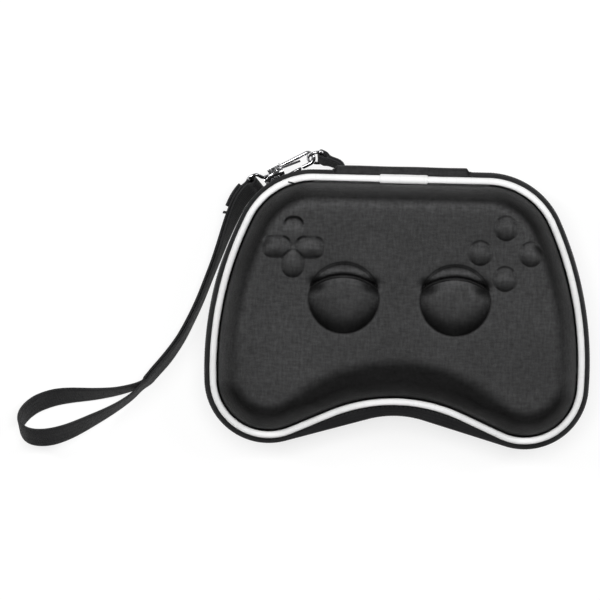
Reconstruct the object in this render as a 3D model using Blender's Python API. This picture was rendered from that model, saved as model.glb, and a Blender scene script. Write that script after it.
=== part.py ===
# Moulded carrying case for a game controller, lying on its back with its wrist strap beside it.
# Metres, +Z up. The origin is the centre of the back's flat face, on the surface that it lies on.
import math

import bmesh
import bpy
from mathutils import Matrix, Vector

for item in list(bpy.data.objects):
    bpy.data.objects.remove(item, do_unlink=True)

mm = 0.001
up = Vector((0, 0, 1))

# Outline of the piping: tangent arcs from the middle of the top edge round to the dip below
topY = 58.4 * mm
topHalf = 39.9 * mm
cornerRadius, cornerTurn = 33.2 * mm, 65.0
sideRadius, sideTurn = 157.5 * mm, 28.3
lobeRadius, lobeTurn = 25.7 * mm, 110.45
dipRadius = 74.8 * mm
faceLobeTurn, faceDipRadius = 128.0, 62.0 * mm
bandLobeTurn, bandDipRadius = 103.0, 48.5 * mm

# Heights
zipLevel = 34.0 * mm
lidDepth = 24.7 * mm
bandHalf = 6.0 * mm
shellWall = 3.0 * mm
flangeThickness = 1.0 * mm
flangeReach = 0.9 * mm
clearance = 0.3 * mm

# Piping, joint sleeve and inner binding
pipingRadius = 1.55 * mm
basePipingRadius = 1.2 * mm
wallInset = 2.45 * mm
sleeveLength = 22.0 * mm
sleeveWall = 0.3 * mm
sleeveShift = 2.0 * mm
bindingWidth = 1.6 * mm
bindingHeight = 3.4 * mm

# Zip
bandReach = 3.5 * mm
tapeThickness = 1.1 * mm
tapeTurnIn = 3.4 * mm
tapeDensity = 0.46
teethThickness = 1.5 * mm
teethHeight = 1.1 * mm
teethWave = 0.5 * mm
teethGap = 0.2 * mm
teethProud = 0.15 * mm
teethDensity = 0.82
openGap = 1.2 * mm
sliderAngle = 28.0
closingAngle = 6.0
sliderLength = 7.6 * mm
sliderHalf = 3.3 * mm
sliderFlare = 1.5 * mm
lugWidth, lugHeight, lugInset = 1.8 * mm, 0.9 * mm, 0.75 * mm
plateThickness = 1.0 * mm
postHalf = 0.8 * mm
pullLength = 13.0 * mm
pullHeight = 4.6 * mm
pullThickness = 1.1 * mm
pullLean = -6.0
pullNeck = 3.2 * mm
pullHole = 1.3 * mm
pullEyeWall = 0.6 * mm
pinRadius = 0.55 * mm
pinOffset = 2.4 * mm

# Hinge gusset at the back edge
gussetHalf = 31.0 * mm
gussetReach = 5.9 * mm
gussetThickness = 1.2 * mm

# Moulded stick, button and cross shapes on the lid
stickX, stickY = 25.5 * mm, 3.2 * mm
stickRadius, stickHeight = 16.0 * mm, 5.0 * mm
stickRecess = 9.0 * mm
crescentApex, crescentRadius = 10.1 * mm, 31.4 * mm
crescentDepth, crescentEdge = 1.2 * mm, 0.35 * mm
buttonX, buttonY = 48.0 * mm, 25.1 * mm
buttonSpread = 11.6 * mm
buttonWidth, buttonLength, buttonHeight = 10.6 * mm, 11.4 * mm, 1.4 * mm
crossX, crossY = -49.2 * mm, 25.9 * mm
crossSpread = 7.6 * mm
crossWidth, crossLength, crossHeight = 9.8 * mm, 12.6 * mm, 1.5 * mm

# Strap hardware
hardwareLevel = 22.0 * mm
ringPivot = Vector((-43.4 * mm, 67.3 * mm, hardwareLevel))
hookHeading = 208.5
hookSlope = 10.0
ringHeading = 186.0
ringLean = 60.0
ringWire = 0.8 * mm
ringReach = 6.5 * mm
ringHalf = 4.9 * mm
hookWire = 1.0 * mm
hookHalf = 2.6 * mm
hookSpine = 14.6 * mm
hookTip = 4.4 * mm
gateWire = 0.85 * mm
blockStart, blockEnd = 14.2 * mm, 18.6 * mm
blockHalf = 1.9 * mm
rivetRadius = 0.6 * mm
studRadius = 1.0 * mm
collarRadius, collarLength = 2.3 * mm, 3.0 * mm
eyeWire = 0.85 * mm
eyeLean = 52.0
eyeDistance = 28.0 * mm
eyeRoom = 1.1 * mm
eyeSlack = 0.75 * mm

# Webbing
strapWidth = 10.5 * mm
strapThickness = 1.3 * mm
layerGap = 0.3 * mm
tabWidth = 7.0 * mm
tabThickness = 1.0 * mm
tabLength = 9.6 * mm
tabRoot = 4.9 * mm
foldGap = 0.45 * mm

# The doubled strap from the swivel eye down to where it opens: x, y, z and the lean of its width
strapRoute = (
    (-71.2, 51.3, 16.7, 36),
    (-74.6, 46.7, 15.9, 31),
    (-78.2, 38.5, 14.5, 24),
    (-81.6, 29.0, 13.1, 16),
    (-84.9, 19.4, 11.7, 11),
    (-88.4, 9.9, 10.3, 9),
    (-91.9, 0.5, 9.0, 9),
    (-96.0, -8.8, 7.8, 10),
    (-100.8, -18.2, 6.9, 13),
    (-106.6, -26.8, 6.2, 17),
    (-111.2, -32.4, 6.1, 17),
    (-115.3, -37.4, 6.0, 15),
)
# The hand loop, out along the branch that lies on the surface and back along the raised one
loopRoute = (
    (-120.4, -40.2, 6.0, 15),
    (-129.9, -42.9, 5.9, 20),
    (-140.4, -44.4, 5.6, 30),
    (-150.5, -45.2, 5.1, 40),
    (-158.8, -46.6, 4.8, 46),
    (-166.8, -49.8, 6.2, 48),
    (-172.2, -54.6, 11.0, 48),
    (-173.8, -59.6, 16.3, 48),
    (-170.9, -63.4, 19.9, 48),
    (-165.6, -64.9, 21.5, 48),
    (-158.2, -64.2, 21.3, 47),
    (-149.8, -61.3, 18.3, 40),
    (-140.1, -56.4, 12.6, 30),
    (-130.2, -50.7, 8.6, 20),
    (-122.0, -44.6, 6.8, 15),
)
loopHeading = 192.0


# Materials
def material(name, colour, roughness, metallic=0.0):
    made = bpy.data.materials.new(name)
    made.use_nodes = True
    shader = made.node_tree.nodes["Principled BSDF"]
    shader.inputs["Base Color"].default_value = (*colour, 1.0)
    shader.inputs["Roughness"].default_value = roughness
    shader.inputs["Metallic"].default_value = metallic
    return made


laminate = material("black_laminate", (0.030, 0.030, 0.031), 0.62)
lining = material("binding_tape", (0.018, 0.018, 0.019), 0.85)
zipTape = material("zip_tape", (0.012, 0.012, 0.013), 0.80)
zipTeeth = material("zip_teeth", (0.016, 0.016, 0.017), 0.38)
whitePiping = material("white_piping", (0.86, 0.86, 0.86), 0.42)
blackPiping = material("black_piping", (0.016, 0.016, 0.017), 0.50)
webbing = material("black_webbing", (0.018, 0.018, 0.020), 0.72)
chrome = material("polished_metal", (0.72, 0.72, 0.74), 0.16, 1.0)


# Mesh helpers
def finish(name, mesh, paint, corner=35.0, helper=False):
    bmesh.ops.recalc_face_normals(mesh, faces=mesh.faces)
    data = bpy.data.meshes.new(name)
    mesh.to_mesh(data)
    mesh.free()
    data.materials.append(paint)
    data.shade_smooth()
    data.set_sharp_from_angle(angle=math.radians(corner))
    made = bpy.data.objects.new(name, data)
    bpy.context.scene.collection.objects.link(made)
    if helper:
        made.hide_render = True
        made.display_type = "WIRE"
    return made


def loft(name, rings, paint, closed=False, corner=35.0, helper=False):
    """Joins equal rings of points; the two ends are capped unless the last ring meets the first."""
    mesh = bmesh.new()
    rows = [[mesh.verts.new(point) for point in ring] for ring in rings]
    pairs = list(zip(rows, rows[1:]))
    if closed:
        pairs.append((rows[-1], rows[0]))
    for first, second in pairs:
        for i in range(len(first)):
            j = (i + 1) % len(first)
            mesh.faces.new((first[i], first[j], second[j], second[i]))
    if not closed:
        mesh.faces.new(rows[0])
        mesh.faces.new(reversed(rows[-1]))
    return finish(name, mesh, paint, corner, helper)


def boolean(target, other, operation):
    cut = target.modifiers.new(other.name, "BOOLEAN")
    cut.operation = operation
    cut.object = other


def move_origin(made, pivot):
    made.data.transform(Matrix.Translation(-pivot))
    made.location = pivot


def rod(name, start, end, radius, paint, sides=16, helper=False):
    """A round bar from start to end."""
    axis = (end - start).normalized()
    across = axis.orthogonal().normalized()
    other = axis.cross(across)
    rings = []
    for centre in (start, end):
        turn = [2 * math.pi * i / sides for i in range(sides)]
        rings.append([centre + radius * (math.cos(a) * across + math.sin(a) * other) for a in turn])
    return loft(name, rings, paint, helper=helper)


def tube(name, path, radius, paint, above, closed=False, sides=9, helper=False):
    """A round wire along a path that stays in the plane at right angles to above."""
    rings = []
    for i, centre in enumerate(path):
        before = path[i - 1] if i > 0 or closed else path[i]
        after = path[(i + 1) % len(path)] if i + 1 < len(path) or closed else path[i]
        along = (after - before).normalized()
        side = along.cross(above).normalized()
        turn = [2 * math.pi * k / sides for k in range(sides)]
        rings.append([centre + radius * (math.cos(a) * side + math.sin(a) * above) for a in turn])
    return loft(name, rings, paint, closed, 60.0, helper)


def box(name, centre, axes, halves, paint, helper=False):
    """A block with its own axes."""
    rings = []
    for end in (-1, 1):
        corner = ((-1, -1), (1, -1), (1, 1), (-1, 1))
        rings.append([centre + end * halves[0] * axes[0] + a * halves[1] * axes[1]
                      + b * halves[2] * axes[2] for a, b in corner])
    return loft(name, rings, paint, helper=helper)


def heading(angle):
    return Vector((math.cos(math.radians(angle)), math.sin(math.radians(angle)), 0))


# Outline
def half_outline(grow, lobe=lobeTurn, dip=dipRadius, steps=(1, 7, 4, 10, 1, 4), start=0.0):
    """Points from the top edge clockwise to the middle of the dip, grown outwards."""
    points = []
    for i in range(steps[0]):
        points.append(Vector((start + (topHalf - start) * i / steps[0], topY + grow)))
    place = Vector((topHalf, topY + grow))
    points.append(place.copy())
    angle = 90.0
    for radius, turn, count in ((cornerRadius, cornerTurn, steps[1]), (sideRadius, sideTurn, steps[2]),
                                (lobeRadius, lobe, steps[3])):
        ray = Vector((math.cos(math.radians(angle)), math.sin(math.radians(angle))))
        centre = place - (radius + grow) * ray
        for i in range(1, count + 1):
            a = math.radians(angle - turn * i / count)
            points.append(centre + (radius + grow) * Vector((math.cos(a), math.sin(a))))
        place = points[-1]
        angle -= turn
    slope = math.radians(-90.0 - angle)
    inner = dip - grow
    flank = Vector((inner * math.sin(slope), 0.0))
    flank.y = place.y + (place.x - flank.x) * math.tan(slope)
    for i in range(1, steps[4] + 1):
        points.append(place.lerp(flank, i / steps[4]))
    level = flank.y - inner * math.cos(slope)
    for i in range(1, steps[5] + 1):
        a = slope * (1 - i / steps[5])
        points.append(Vector((inner * math.sin(a), level + inner * math.cos(a))))
    return points


def whole(half):
    """A closed outline from its right half, which starts and ends on the middle line."""
    return half + [Vector((-p.x, p.y)) for p in reversed(half[1:-1])]


def outline(grow, share=0.0, z=0.0, lobe=faceLobeTurn, dip=faceDipRadius, gusset=True):
    """A closed ring at height z, blended by share from the piping's outline to another."""
    first = whole(half_outline(grow))
    second = whole(half_outline(grow, lobe, dip))
    return [Vector((*a.lerp(b, share), z)) for a, b in zip(first, second)]


# Shells
wallSteps = (
    (0.0, 0.00, 0.00),
    (0.0, 0.13, 0.00),
    (1.0, 0.38, 0.12),
    (3.0, 0.62, 0.34),
    (5.3, 0.81, 0.60),
    (8.0, 0.94, 0.84),
    (10.6, 0.99, 0.97),
    (13.2, 1.00, 1.00),
)


def shell(name, seam, depth, paint):
    """A moulded half with its sewing flange at the seam; a negative depth goes down."""
    sign = math.copysign(1.0, depth)
    flange = seam - sign * flangeThickness
    inner = depth - sign * shellWall
    rings = [outline(-wallInset - step[0] * mm, step[2], seam + depth * step[1])
             for step in reversed(wallSteps)]
    rings.append(outline(flangeReach, 0.0, seam))
    rings.append(outline(flangeReach, 0.0, flange))
    rings.append(outline(-wallInset - shellWall, 0.0, flange))
    rings += [outline(-wallInset - shellWall - step[0] * mm, step[2], seam + inner * step[1])
              for step in wallSteps[1:]]
    return loft(name, rings, paint)


lidSeam = zipLevel + bandHalf + clearance + flangeThickness
baseSeam = zipLevel - bandHalf - clearance - flangeThickness
lidTop = lidSeam + lidDepth
lidShell = shell("lid_shell", lidSeam, lidDepth, laminate)
baseShell = shell("base_shell", baseSeam, -baseSeam, laminate)


# Moulded shapes on the lid
def dome(name, centre, radii, height, power, segments=14, rows=3, skirt=1.0 * mm, base=0.0):
    """A low dome on a level face; its skirt reaches below the face."""
    middle = Vector((*centre, base))
    rings = []
    levels = [(1.0, -skirt)]
    for row in range(rows + 1):
        share = math.cos(0.5 * math.pi * row / (rows + 0.6))
        levels.append((share, height * (1 - share ** power) ** 0.5))
    for share, rise in levels:
        ring = []
        for i in range(segments):
            a = 2 * math.pi * i / segments
            local = Vector((share * radii[0] * math.cos(a), share * radii[1] * math.sin(a), rise))
            ring.append(middle + local)
        rings.append(ring)
    return loft(name, rings, laminate, helper=True)


def crescent(name, x, y):
    """The sunken ledge over a stick: between the stick's own circle and a flatter arc."""
    reach = stickRadius + 0.25 * mm
    drop = crescentRadius - crescentApex
    level = (crescentRadius ** 2 - drop ** 2 - reach ** 2) / (2 * drop)
    width = math.sqrt(reach ** 2 - level ** 2)
    outer, inner = [], []
    count = 14
    outerSweep = math.atan2(width, level)
    innerSweep = math.asin(width / crescentRadius)
    for i in range(count + 1):
        share = 2 * i / count - 1
        a = outerSweep * share
        b = innerSweep * share
        outer.append(Vector((x + reach * math.sin(a), y + reach * math.cos(a), 0)))
        inner.append(Vector((x + crescentRadius * math.sin(b), y - drop + crescentRadius * math.cos(b), 0)))
    mesh = bmesh.new()
    top = Vector((0, 0, lidTop + stickHeight + 1 * mm))
    edge = Vector((0, 0, lidTop - crescentEdge))
    deep = Vector((0, 0, lidTop - crescentDepth))
    rows = []
    for a, b in zip(outer[1:-1], inner[1:-1]):
        rows.append([a + edge, a + top, b + top, b + deep])
    first, last = outer[0], outer[-1]
    rows = [[mesh.verts.new(p) for p in row] for row in rows]
    for row, following in zip(rows, rows[1:]):
        for i in range(4):
            j = (i + 1) % 4
            mesh.faces.new((row[i], row[j], following[j], following[i]))
    for row, end in ((rows[0], first), (rows[-1], last)):
        high, low = mesh.verts.new(end + top), mesh.verts.new(end + edge)
        mesh.faces.new((row[0], row[1], high, low))
        mesh.faces.new((row[1], row[2], high))
        mesh.faces.new((row[2], row[3], low, high))
        mesh.faces.new((row[3], row[0], low))
    return finish(name, mesh, laminate, helper=True)


for side, label in ((-1, "left"), (1, "right")):
    middle = (side * stickX, stickY)
    boolean(lidShell, dome(f"{label}_stick", middle, (stickRadius, stickRadius), stickHeight, 3.0,
                           segments=28, rows=5, base=lidTop), "UNION")
    boolean(lidShell, crescent(f"{label}_crescent", *middle), "DIFFERENCE")
    boolean(lidShell, dome(f"{label}_recess", middle, (stickRecess, stickRecess), stickHeight, 3.0,
                           segments=18, rows=3, base=lidTop - shellWall), "DIFFERENCE")
for quarter in range(4):
    a = math.radians(90 * quarter)
    out = Vector((math.cos(a), math.sin(a)))
    upright = quarter % 2 == 1
    place = Vector((buttonX, buttonY)) + buttonSpread * out
    radii = (buttonWidth / 2, buttonLength / 2)
    boolean(lidShell, dome(f"button_{quarter}", place, radii, buttonHeight, 2.0, base=lidTop), "UNION")
    place = Vector((crossX, crossY)) + crossSpread * out
    radii = (crossWidth / 2, crossLength / 2) if upright else (crossLength / 2, crossWidth / 2)
    boolean(lidShell, dome(f"cross_{quarter}", place, radii, crossHeight, 2.0, base=lidTop), "UNION")


# Sewn edges: piping, joint sleeve and inner bindings
def around(grow, z, section, name, paint, corner=60.0):
    """A closed strip round the case with a section given as (outwards, up) offsets."""
    rings = []
    for out, up in section:
        rings.append(outline(grow + out, 0.0, z + up))
    stations = [list(points) for points in zip(*rings)]
    return loft(name, stations, paint, closed=True, corner=corner)


def disc(radius, sides):
    turn = [2 * math.pi * (i + 0.5) / sides for i in range(sides)]
    return [(radius * math.cos(a), radius * math.sin(a)) for a in turn]


pipingLevel = lidSeam + clearance + pipingRadius
basePipingLevel = baseSeam - clearance - basePipingRadius
lidPiping = around(0.0, pipingLevel, disc(pipingRadius, 7), "lid_piping", whitePiping)
basePiping = around(0.0, basePipingLevel, disc(basePipingRadius, 5), "base_piping", blackPiping)

sleeveOuter = pipingRadius + clearance + sleeveWall
sleeveStart = Vector((sleeveShift - sleeveLength / 2, topY, pipingLevel))
sleeveEnd = Vector((sleeveShift + sleeveLength / 2, topY, pipingLevel))
sleeve = rod("piping_sleeve", sleeveStart, sleeveEnd, sleeveOuter, whitePiping, 20)
reach = Vector((2 * mm, 0, 0))
sleeveBore = rod("sleeve_bore", sleeveStart - reach, sleeveEnd + reach, pipingRadius + clearance,
                 whitePiping, 20, helper=True)
boolean(sleeve, sleeveBore, "DIFFERENCE")
sleeveFoot = box("sleeve_foot", Vector((sleeveShift, topY, lidSeam + clearance - 1 * mm)),
                 (Vector((1, 0, 0)), Vector((0, 1, 0)), Vector((0, 0, 1))),
                 (sleeveLength, 2 * sleeveOuter, 1 * mm), whitePiping, helper=True)
boolean(sleeve, sleeveFoot, "DIFFERENCE")

bindingInset = -wallInset - shellWall - clearance - bindingWidth / 2
bindingSection = [(a * bindingWidth / 2, b * bindingHeight / 2) for a, b in ((-1, -1), (1, -1), (1, 1), (-1, 1))]
lidBinding = around(bindingInset, lidSeam - flangeThickness + bindingHeight / 2, bindingSection,
                    "lid_seam_binding", lining)
baseBinding = around(bindingInset, baseSeam + flangeThickness - bindingHeight / 2, bindingSection,
                     "base_seam_binding", lining)


# Zip: fabric tapes sewn to the flanges, and a chain of teeth along each
def band_path(grow, lobe, dip, density):
    """The band's open path from one end of the gusset round to the other."""
    steps = [max(1, round(n * density)) for n in (3, 14, 27, 20, 10, 7)]
    half = half_outline(grow, lobe, dip, steps, gussetHalf + clearance)
    left = [Vector((-p.x, p.y)) for p in reversed(half[:-1])]
    return half + left


def zip_gap(angle):
    """Half the space between the two rows of teeth, at an angle past the top of the left corner."""
    meshed = sliderAngle + math.degrees(sliderLength / 2 / (cornerRadius + bandReach)) + closingAngle
    share = min(1.0, max(0.0, (meshed - angle) / (closingAngle - 1.5)))
    return teethGap + (openGap - teethGap) * share


def corner_angle(point):
    """How far a point on the left lies past the top of the corner, or a large angle elsewhere."""
    local = point - Vector((-topHalf, topY - cornerRadius))
    if point.x > 0 or point.y < 0:
        return 180.0
    return math.degrees(math.atan2(-local.x, local.y))


def tape(name, side):
    """Side is 1 for the lid's tape and -1 for the base's."""
    seam = band_path(flangeReach, lobeTurn, dipRadius, tapeDensity)
    middle = band_path(bandReach, bandLobeTurn, bandDipRadius, tapeDensity)
    seamBack = band_path(flangeReach - tapeThickness, lobeTurn, dipRadius, tapeDensity)
    middleBack = band_path(bandReach - tapeThickness, bandLobeTurn, bandDipRadius, tapeDensity)
    rings = []
    for a, b, c, d in zip(seam, middle, seamBack, middleBack):
        edge = zip_gap(corner_angle(b)) + teethHeight + clearance
        rings.append([
            Vector((*a, zipLevel + side * bandHalf)),
            Vector((*b, zipLevel + side * tapeTurnIn)),
            Vector((*b, zipLevel + side * edge)),
            Vector((*d, zipLevel + side * edge)),
            Vector((*d, zipLevel + side * tapeTurnIn)),
            Vector((*c, zipLevel + side * bandHalf)),
        ])
    return loft(name, rings, zipTape)


def teeth(name, side):
    """A zigzag row whose points stand between those of the row across."""
    outer = band_path(bandReach + teethProud, bandLobeTurn, bandDipRadius, teethDensity)
    inner = band_path(bandReach + teethProud - teethThickness, bandLobeTurn, bandDipRadius, teethDensity)
    rings = []
    for i, (a, b) in enumerate(zip(outer, inner)):
        gap = zip_gap(corner_angle(a))
        wave = teethWave * (1 if i % 2 else -1) if gap < teethGap * 1.01 else 0.0
        near = zipLevel + side * gap + wave
        far = zipLevel + side * (gap + teethHeight)
        rings.append([Vector((*a, near)), Vector((*a, far)), Vector((*b, far)), Vector((*b, near))])
    return loft(name, rings, zipTeeth)


lidTape = tape("lid_zip_tape", 1)
baseTape = tape("base_zip_tape", -1)
lidTeeth = teeth("lid_zip_teeth", 1)
baseTeeth = teeth("base_zip_teeth", -1)


# Hinge gusset: a plain panel that bows out between the two seams
def gusset():
    profile = ((flangeReach, bandHalf), (gussetReach * 0.80, 4.4 * mm), (gussetReach, 2.2 * mm))
    outer = [(grow, up) for grow, up in profile] + [(grow, -up) for grow, up in reversed(profile)]
    lift = 0.45 * mm
    inner = [(grow - gussetThickness, up - lift * (up > 3 * mm) * (up < 5 * mm)) for grow, up in profile]
    inner += [(grow, -up) for grow, up in reversed(inner)]
    rings = []
    for x in (-gussetHalf, gussetHalf):
        rings.append([Vector((x, topY + grow, zipLevel + up)) for grow, up in outer + inner[::-1]])
    return loft("hinge_gusset", rings, zipTape)


hingeGusset = gusset()

# Slider on the left corner of the zip
cornerCentre = Vector((-topHalf, topY - cornerRadius, 0))


def corner_point(angle, grow, z):
    a = math.radians(90 + angle)
    radius = cornerRadius + grow
    return cornerCentre + Vector((radius * math.cos(a), radius * math.sin(a), z))


def slider():
    """Two plates joined by a post, swept along the zip's curve; the lid's side is flared."""
    back = bandReach + teethProud - teethThickness - clearance
    front = bandReach + teethProud + clearance
    rings = []
    spread = math.degrees(sliderLength / (cornerRadius + bandReach))
    count = 6
    for i in range(count + 1):
        share = 2 * i / count - 1
        half = sliderHalf * (1 - 0.22 * share ** 2)
        section = (
            (back - plateThickness, -half), (back, -half), (back, -postHalf), (front, -postHalf),
            (front, -half), (front + plateThickness, -half), (front + plateThickness * 1.3, 0.0),
            (front + plateThickness + sliderFlare, half), (front + sliderFlare, half), (front, postHalf),
            (back, postHalf), (back, half), (back - plateThickness, half),
        )
        angle = sliderAngle + spread * share / 2
        rings.append([corner_point(angle, grow, zipLevel + up) for grow, up in section])
    made = loft("zip_slider", rings, chrome)
    pinGrow = front + plateThickness + pinOffset
    for end in (-1, 1):
        level = zipLevel + end * (pullHeight / 2 - lugInset)
        lugOut = corner_point(sliderAngle, pinGrow, level)
        lugIn = corner_point(sliderAngle, front + plateThickness / 2, level)
        axes = ((lugOut - lugIn).normalized(), Vector((0, 0, 1)))
        across = axes[0].cross(axes[1])
        middle = (lugOut + lugIn) / 2 + axes[0] * pinRadius
        halves = ((lugOut - lugIn).length / 2 + pinRadius, lugWidth / 2, lugHeight / 2)
        lug = box(f"slider_lug_{end}", middle, (axes[0], across, axes[1]), halves, chrome, helper=True)
        boolean(made, lug, "UNION")
    low = corner_point(sliderAngle, pinGrow, zipLevel - pullHeight / 2 + 0.5 * mm)
    high = corner_point(sliderAngle, pinGrow, zipLevel + pullHeight / 2 - 0.5 * mm)
    boolean(made, rod("slider_pin", low, high, pinRadius, chrome, 12, helper=True), "UNION")
    move_origin(made, cornerCentre + Vector((0, 0, zipLevel)))
    return made, corner_point(sliderAngle, pinGrow, zipLevel)


zipSlider, pullPivot = slider()


def pull():
    """A flat tab with an eye round the slider's pin, pointing along the band to the hinge."""
    along = heading(sliderAngle + pullLean)
    across = up.cross(along)
    eyeRadius = pinRadius + clearance + pullEyeWall
    eyeHalf = pullHeight / 2 - lugInset - lugHeight / 2 - clearance
    made = rod("zip_pull", pullPivot - eyeHalf * up, pullPivot + eyeHalf * up, eyeRadius, chrome, 16)
    neck = box("pull_neck", pullPivot + along * 2.2 * mm, (along, across, up),
               (1.6 * mm, pullThickness / 2, eyeHalf * 0.9), chrome, helper=True)
    boolean(made, neck, "UNION")
    length = pullLength - pullNeck
    tabMiddle = pullPivot + along * (pullNeck + length / 2)
    tab = box("pull_tab", tabMiddle, (along, across, up), (length / 2, pullThickness / 2, pullHeight / 2),
              chrome, helper=True)
    edge = tab.modifiers.new("edge", "BEVEL")
    edge.width = 0.4 * mm
    edge.segments = 2
    boolean(made, tab, "UNION")
    bore = rod("pull_bore", pullPivot - pullHeight * up, pullPivot + pullHeight * up,
               pinRadius + clearance, chrome, 14, helper=True)
    boolean(made, bore, "DIFFERENCE")
    holeMiddle = pullPivot + along * (pullLength - 3.0 * mm)
    hole = rod("pull_hole", holeMiddle - across * 2 * mm, holeMiddle + across * 2 * mm, pullHole,
               chrome, 14, helper=True)
    boolean(made, hole, "DIFFERENCE")
    move_origin(made, pullPivot)
    return made


zipPull = pull()


# Ring and its webbing tab at the left end of the gusset
ringOut = heading(ringHeading)
ringAcross = math.cos(math.radians(ringLean)) * up.cross(-ringOut) + math.sin(math.radians(ringLean)) * up
ringNormal = ringOut.cross(ringAcross)
ringBar = ringPivot - ringReach * ringOut


def d_ring():
    path = [ringBar - ringHalf * 0.86 * ringAcross, ringBar, ringBar + ringHalf * 0.86 * ringAcross]
    count = 14
    for i in range(count + 1):
        a = math.pi * i / count
        side = ringHalf * math.cos(a)
        path.append(ringBar + side * ringAcross + (1.1 * mm + (ringReach - 1.1 * mm) * math.sin(a)) * ringOut)
    return tube("d_ring", path, ringWire, chrome, ringNormal, closed=True)


def ribbon(name, stations, width, thickness, paint, closed=False, trim=0):
    """A flat strip along stations of (place, width direction); trim drops stations at both ends."""
    rings = []
    count = len(stations)
    for i, (place, across) in enumerate(stations):
        before = stations[i - 1][0] if i > 0 or closed else place
        after = stations[(i + 1) % count][0] if i + 1 < count or closed else place
        along = (after - before).normalized()
        wide = (across - across.dot(along) * along).normalized() * width / 2
        thick = along.cross(wide).normalized() * thickness / 2
        rings.append([place - wide - thick, place + wide - thick, place + wide + thick, place - wide + thick])
    return loft(name, rings[trim:count - trim], paint, closed, 50.0)


def tab():
    """Webbing folded round the ring's bar, its two ends held at the base's seam."""
    wrap = ringWire + clearance + tabThickness / 2
    apart = (tabThickness + layerGap) / 2
    back = heading(-24.0)
    root = ringBar + back * tabLength
    side = ringAcross.cross(back).normalized()
    bend = heading(-62.0)
    stations = []
    for sign in (1, -1):
        branch = [
            root + bend * tabRoot + sign * apart * ringAcross.cross(bend).normalized(),
            root + sign * apart * side,
            ringBar + back * tabLength * 0.45 + sign * apart * side,
            ringBar + back * 1.6 * mm + sign * wrap * 0.96 * side,
        ]
        stations += [(p, ringAcross) for p in (branch if sign > 0 else reversed(branch))]
        if sign > 0:
            for i in range(7):
                a = math.pi * i / 6
                place = ringBar + wrap * (math.cos(a) * side - math.sin(a) * back)
                stations.append((place, ringAcross))
    return ribbon("ring_tab", stations, tabWidth, tabThickness, webbing)


ring = d_ring()
ringTab = tab()

# Swivel hook: u runs from the ring to the strap, v points away from the case
hookU = math.cos(math.radians(hookSlope)) * heading(hookHeading) - math.sin(math.radians(hookSlope)) * up
hookV = heading(hookHeading - 90)
hookN = hookV.cross(hookU)


def at(u, v, z=0.0):
    return ringPivot + u * hookU + v * hookV + z * hookN


def hook():
    path = [at(hookTip, -hookHalf), at(hookTip / 2, -hookHalf)]
    for i in range(9):
        a = math.radians(-90 - 180 * i / 8)
        path.append(at(hookHalf * math.cos(a), hookHalf * math.sin(a)))
    path += [at(hookSpine * 0.5, hookHalf), at(hookSpine, hookHalf), at(blockStart + 2.4 * mm, hookHalf * 0.5)]
    made = tube("hook_body", path, hookWire, chrome, hookN)
    middle = at((blockStart + blockEnd) / 2, -0.2 * mm)
    block = box("hook_block", middle, (hookU, hookV, hookN),
                ((blockEnd - blockStart) / 2, hookHalf + 0.9 * mm, blockHalf), chrome, helper=True)
    edge = block.modifiers.new("edge", "BEVEL")
    edge.width = 0.6 * mm
    edge.segments = 2
    boolean(made, block, "UNION")
    slotHalf = gateWire + clearance
    slot = box("hook_slot", at(blockStart, -hookHalf), (hookU, hookV, hookN),
               (3.4 * mm, 1.9 * mm, slotHalf), chrome, helper=True)
    boolean(made, slot, "DIFFERENCE")
    bore = rod("rivet_bore", at(rivetU, -hookHalf, -4 * mm), at(rivetU, -hookHalf, 4 * mm),
               rivetRadius + clearance, chrome, 14, helper=True)
    boolean(made, bore, "DIFFERENCE")
    studEnd = blockEnd + clearance + collarLength + clearance
    stud = rod("hook_stud", at(blockEnd - 1 * mm, 0), at(studEnd + 0.3 * mm, 0), studRadius, chrome, 14, helper=True)
    boolean(made, stud, "UNION")
    head = rod("hook_head", at(studEnd, 0), at(studEnd + 0.7 * mm, 0), studRadius + 0.6 * mm, chrome, 14,
               helper=True)
    boolean(made, head, "UNION")
    move_origin(made, ringPivot)
    return made


rivetU = blockStart + 1.2 * mm


def gate():
    """The sprung bar that closes the hook, with an eye round its rivet."""
    made = tube("hook_gate", [at(hookTip + clearance, -hookHalf), at(rivetU, -hookHalf)], gateWire, chrome, hookN)
    eye = rod("gate_eye", at(rivetU, -hookHalf, -gateWire), at(rivetU, -hookHalf, gateWire),
              rivetRadius + clearance + 0.5 * mm, chrome, 16, helper=True)
    boolean(made, eye, "UNION")
    bore = rod("gate_bore", at(rivetU, -hookHalf, -3 * mm), at(rivetU, -hookHalf, 3 * mm),
               rivetRadius + clearance, chrome, 14, helper=True)
    boolean(made, bore, "DIFFERENCE")
    move_origin(made, at(rivetU, -hookHalf))
    return made


def rivet():
    top = blockHalf + clearance
    made = rod("gate_rivet", at(rivetU, -hookHalf, -top - 0.2 * mm), at(rivetU, -hookHalf, top + 0.2 * mm),
               rivetRadius, chrome, 14)
    for end in (-1, 1):
        head = rod(f"rivet_head_{end}", at(rivetU, -hookHalf, end * top), at(rivetU, -hookHalf, end * (top + 0.4 * mm)),
                   rivetRadius + 0.6 * mm, chrome, 14, helper=True)
        boolean(made, head, "UNION")
    return made


eyeAcross = math.cos(math.radians(eyeLean)) * hookV + math.sin(math.radians(eyeLean)) * hookN
eyeHalfWidth = strapWidth / 2 + eyeRoom + eyeWire


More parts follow.
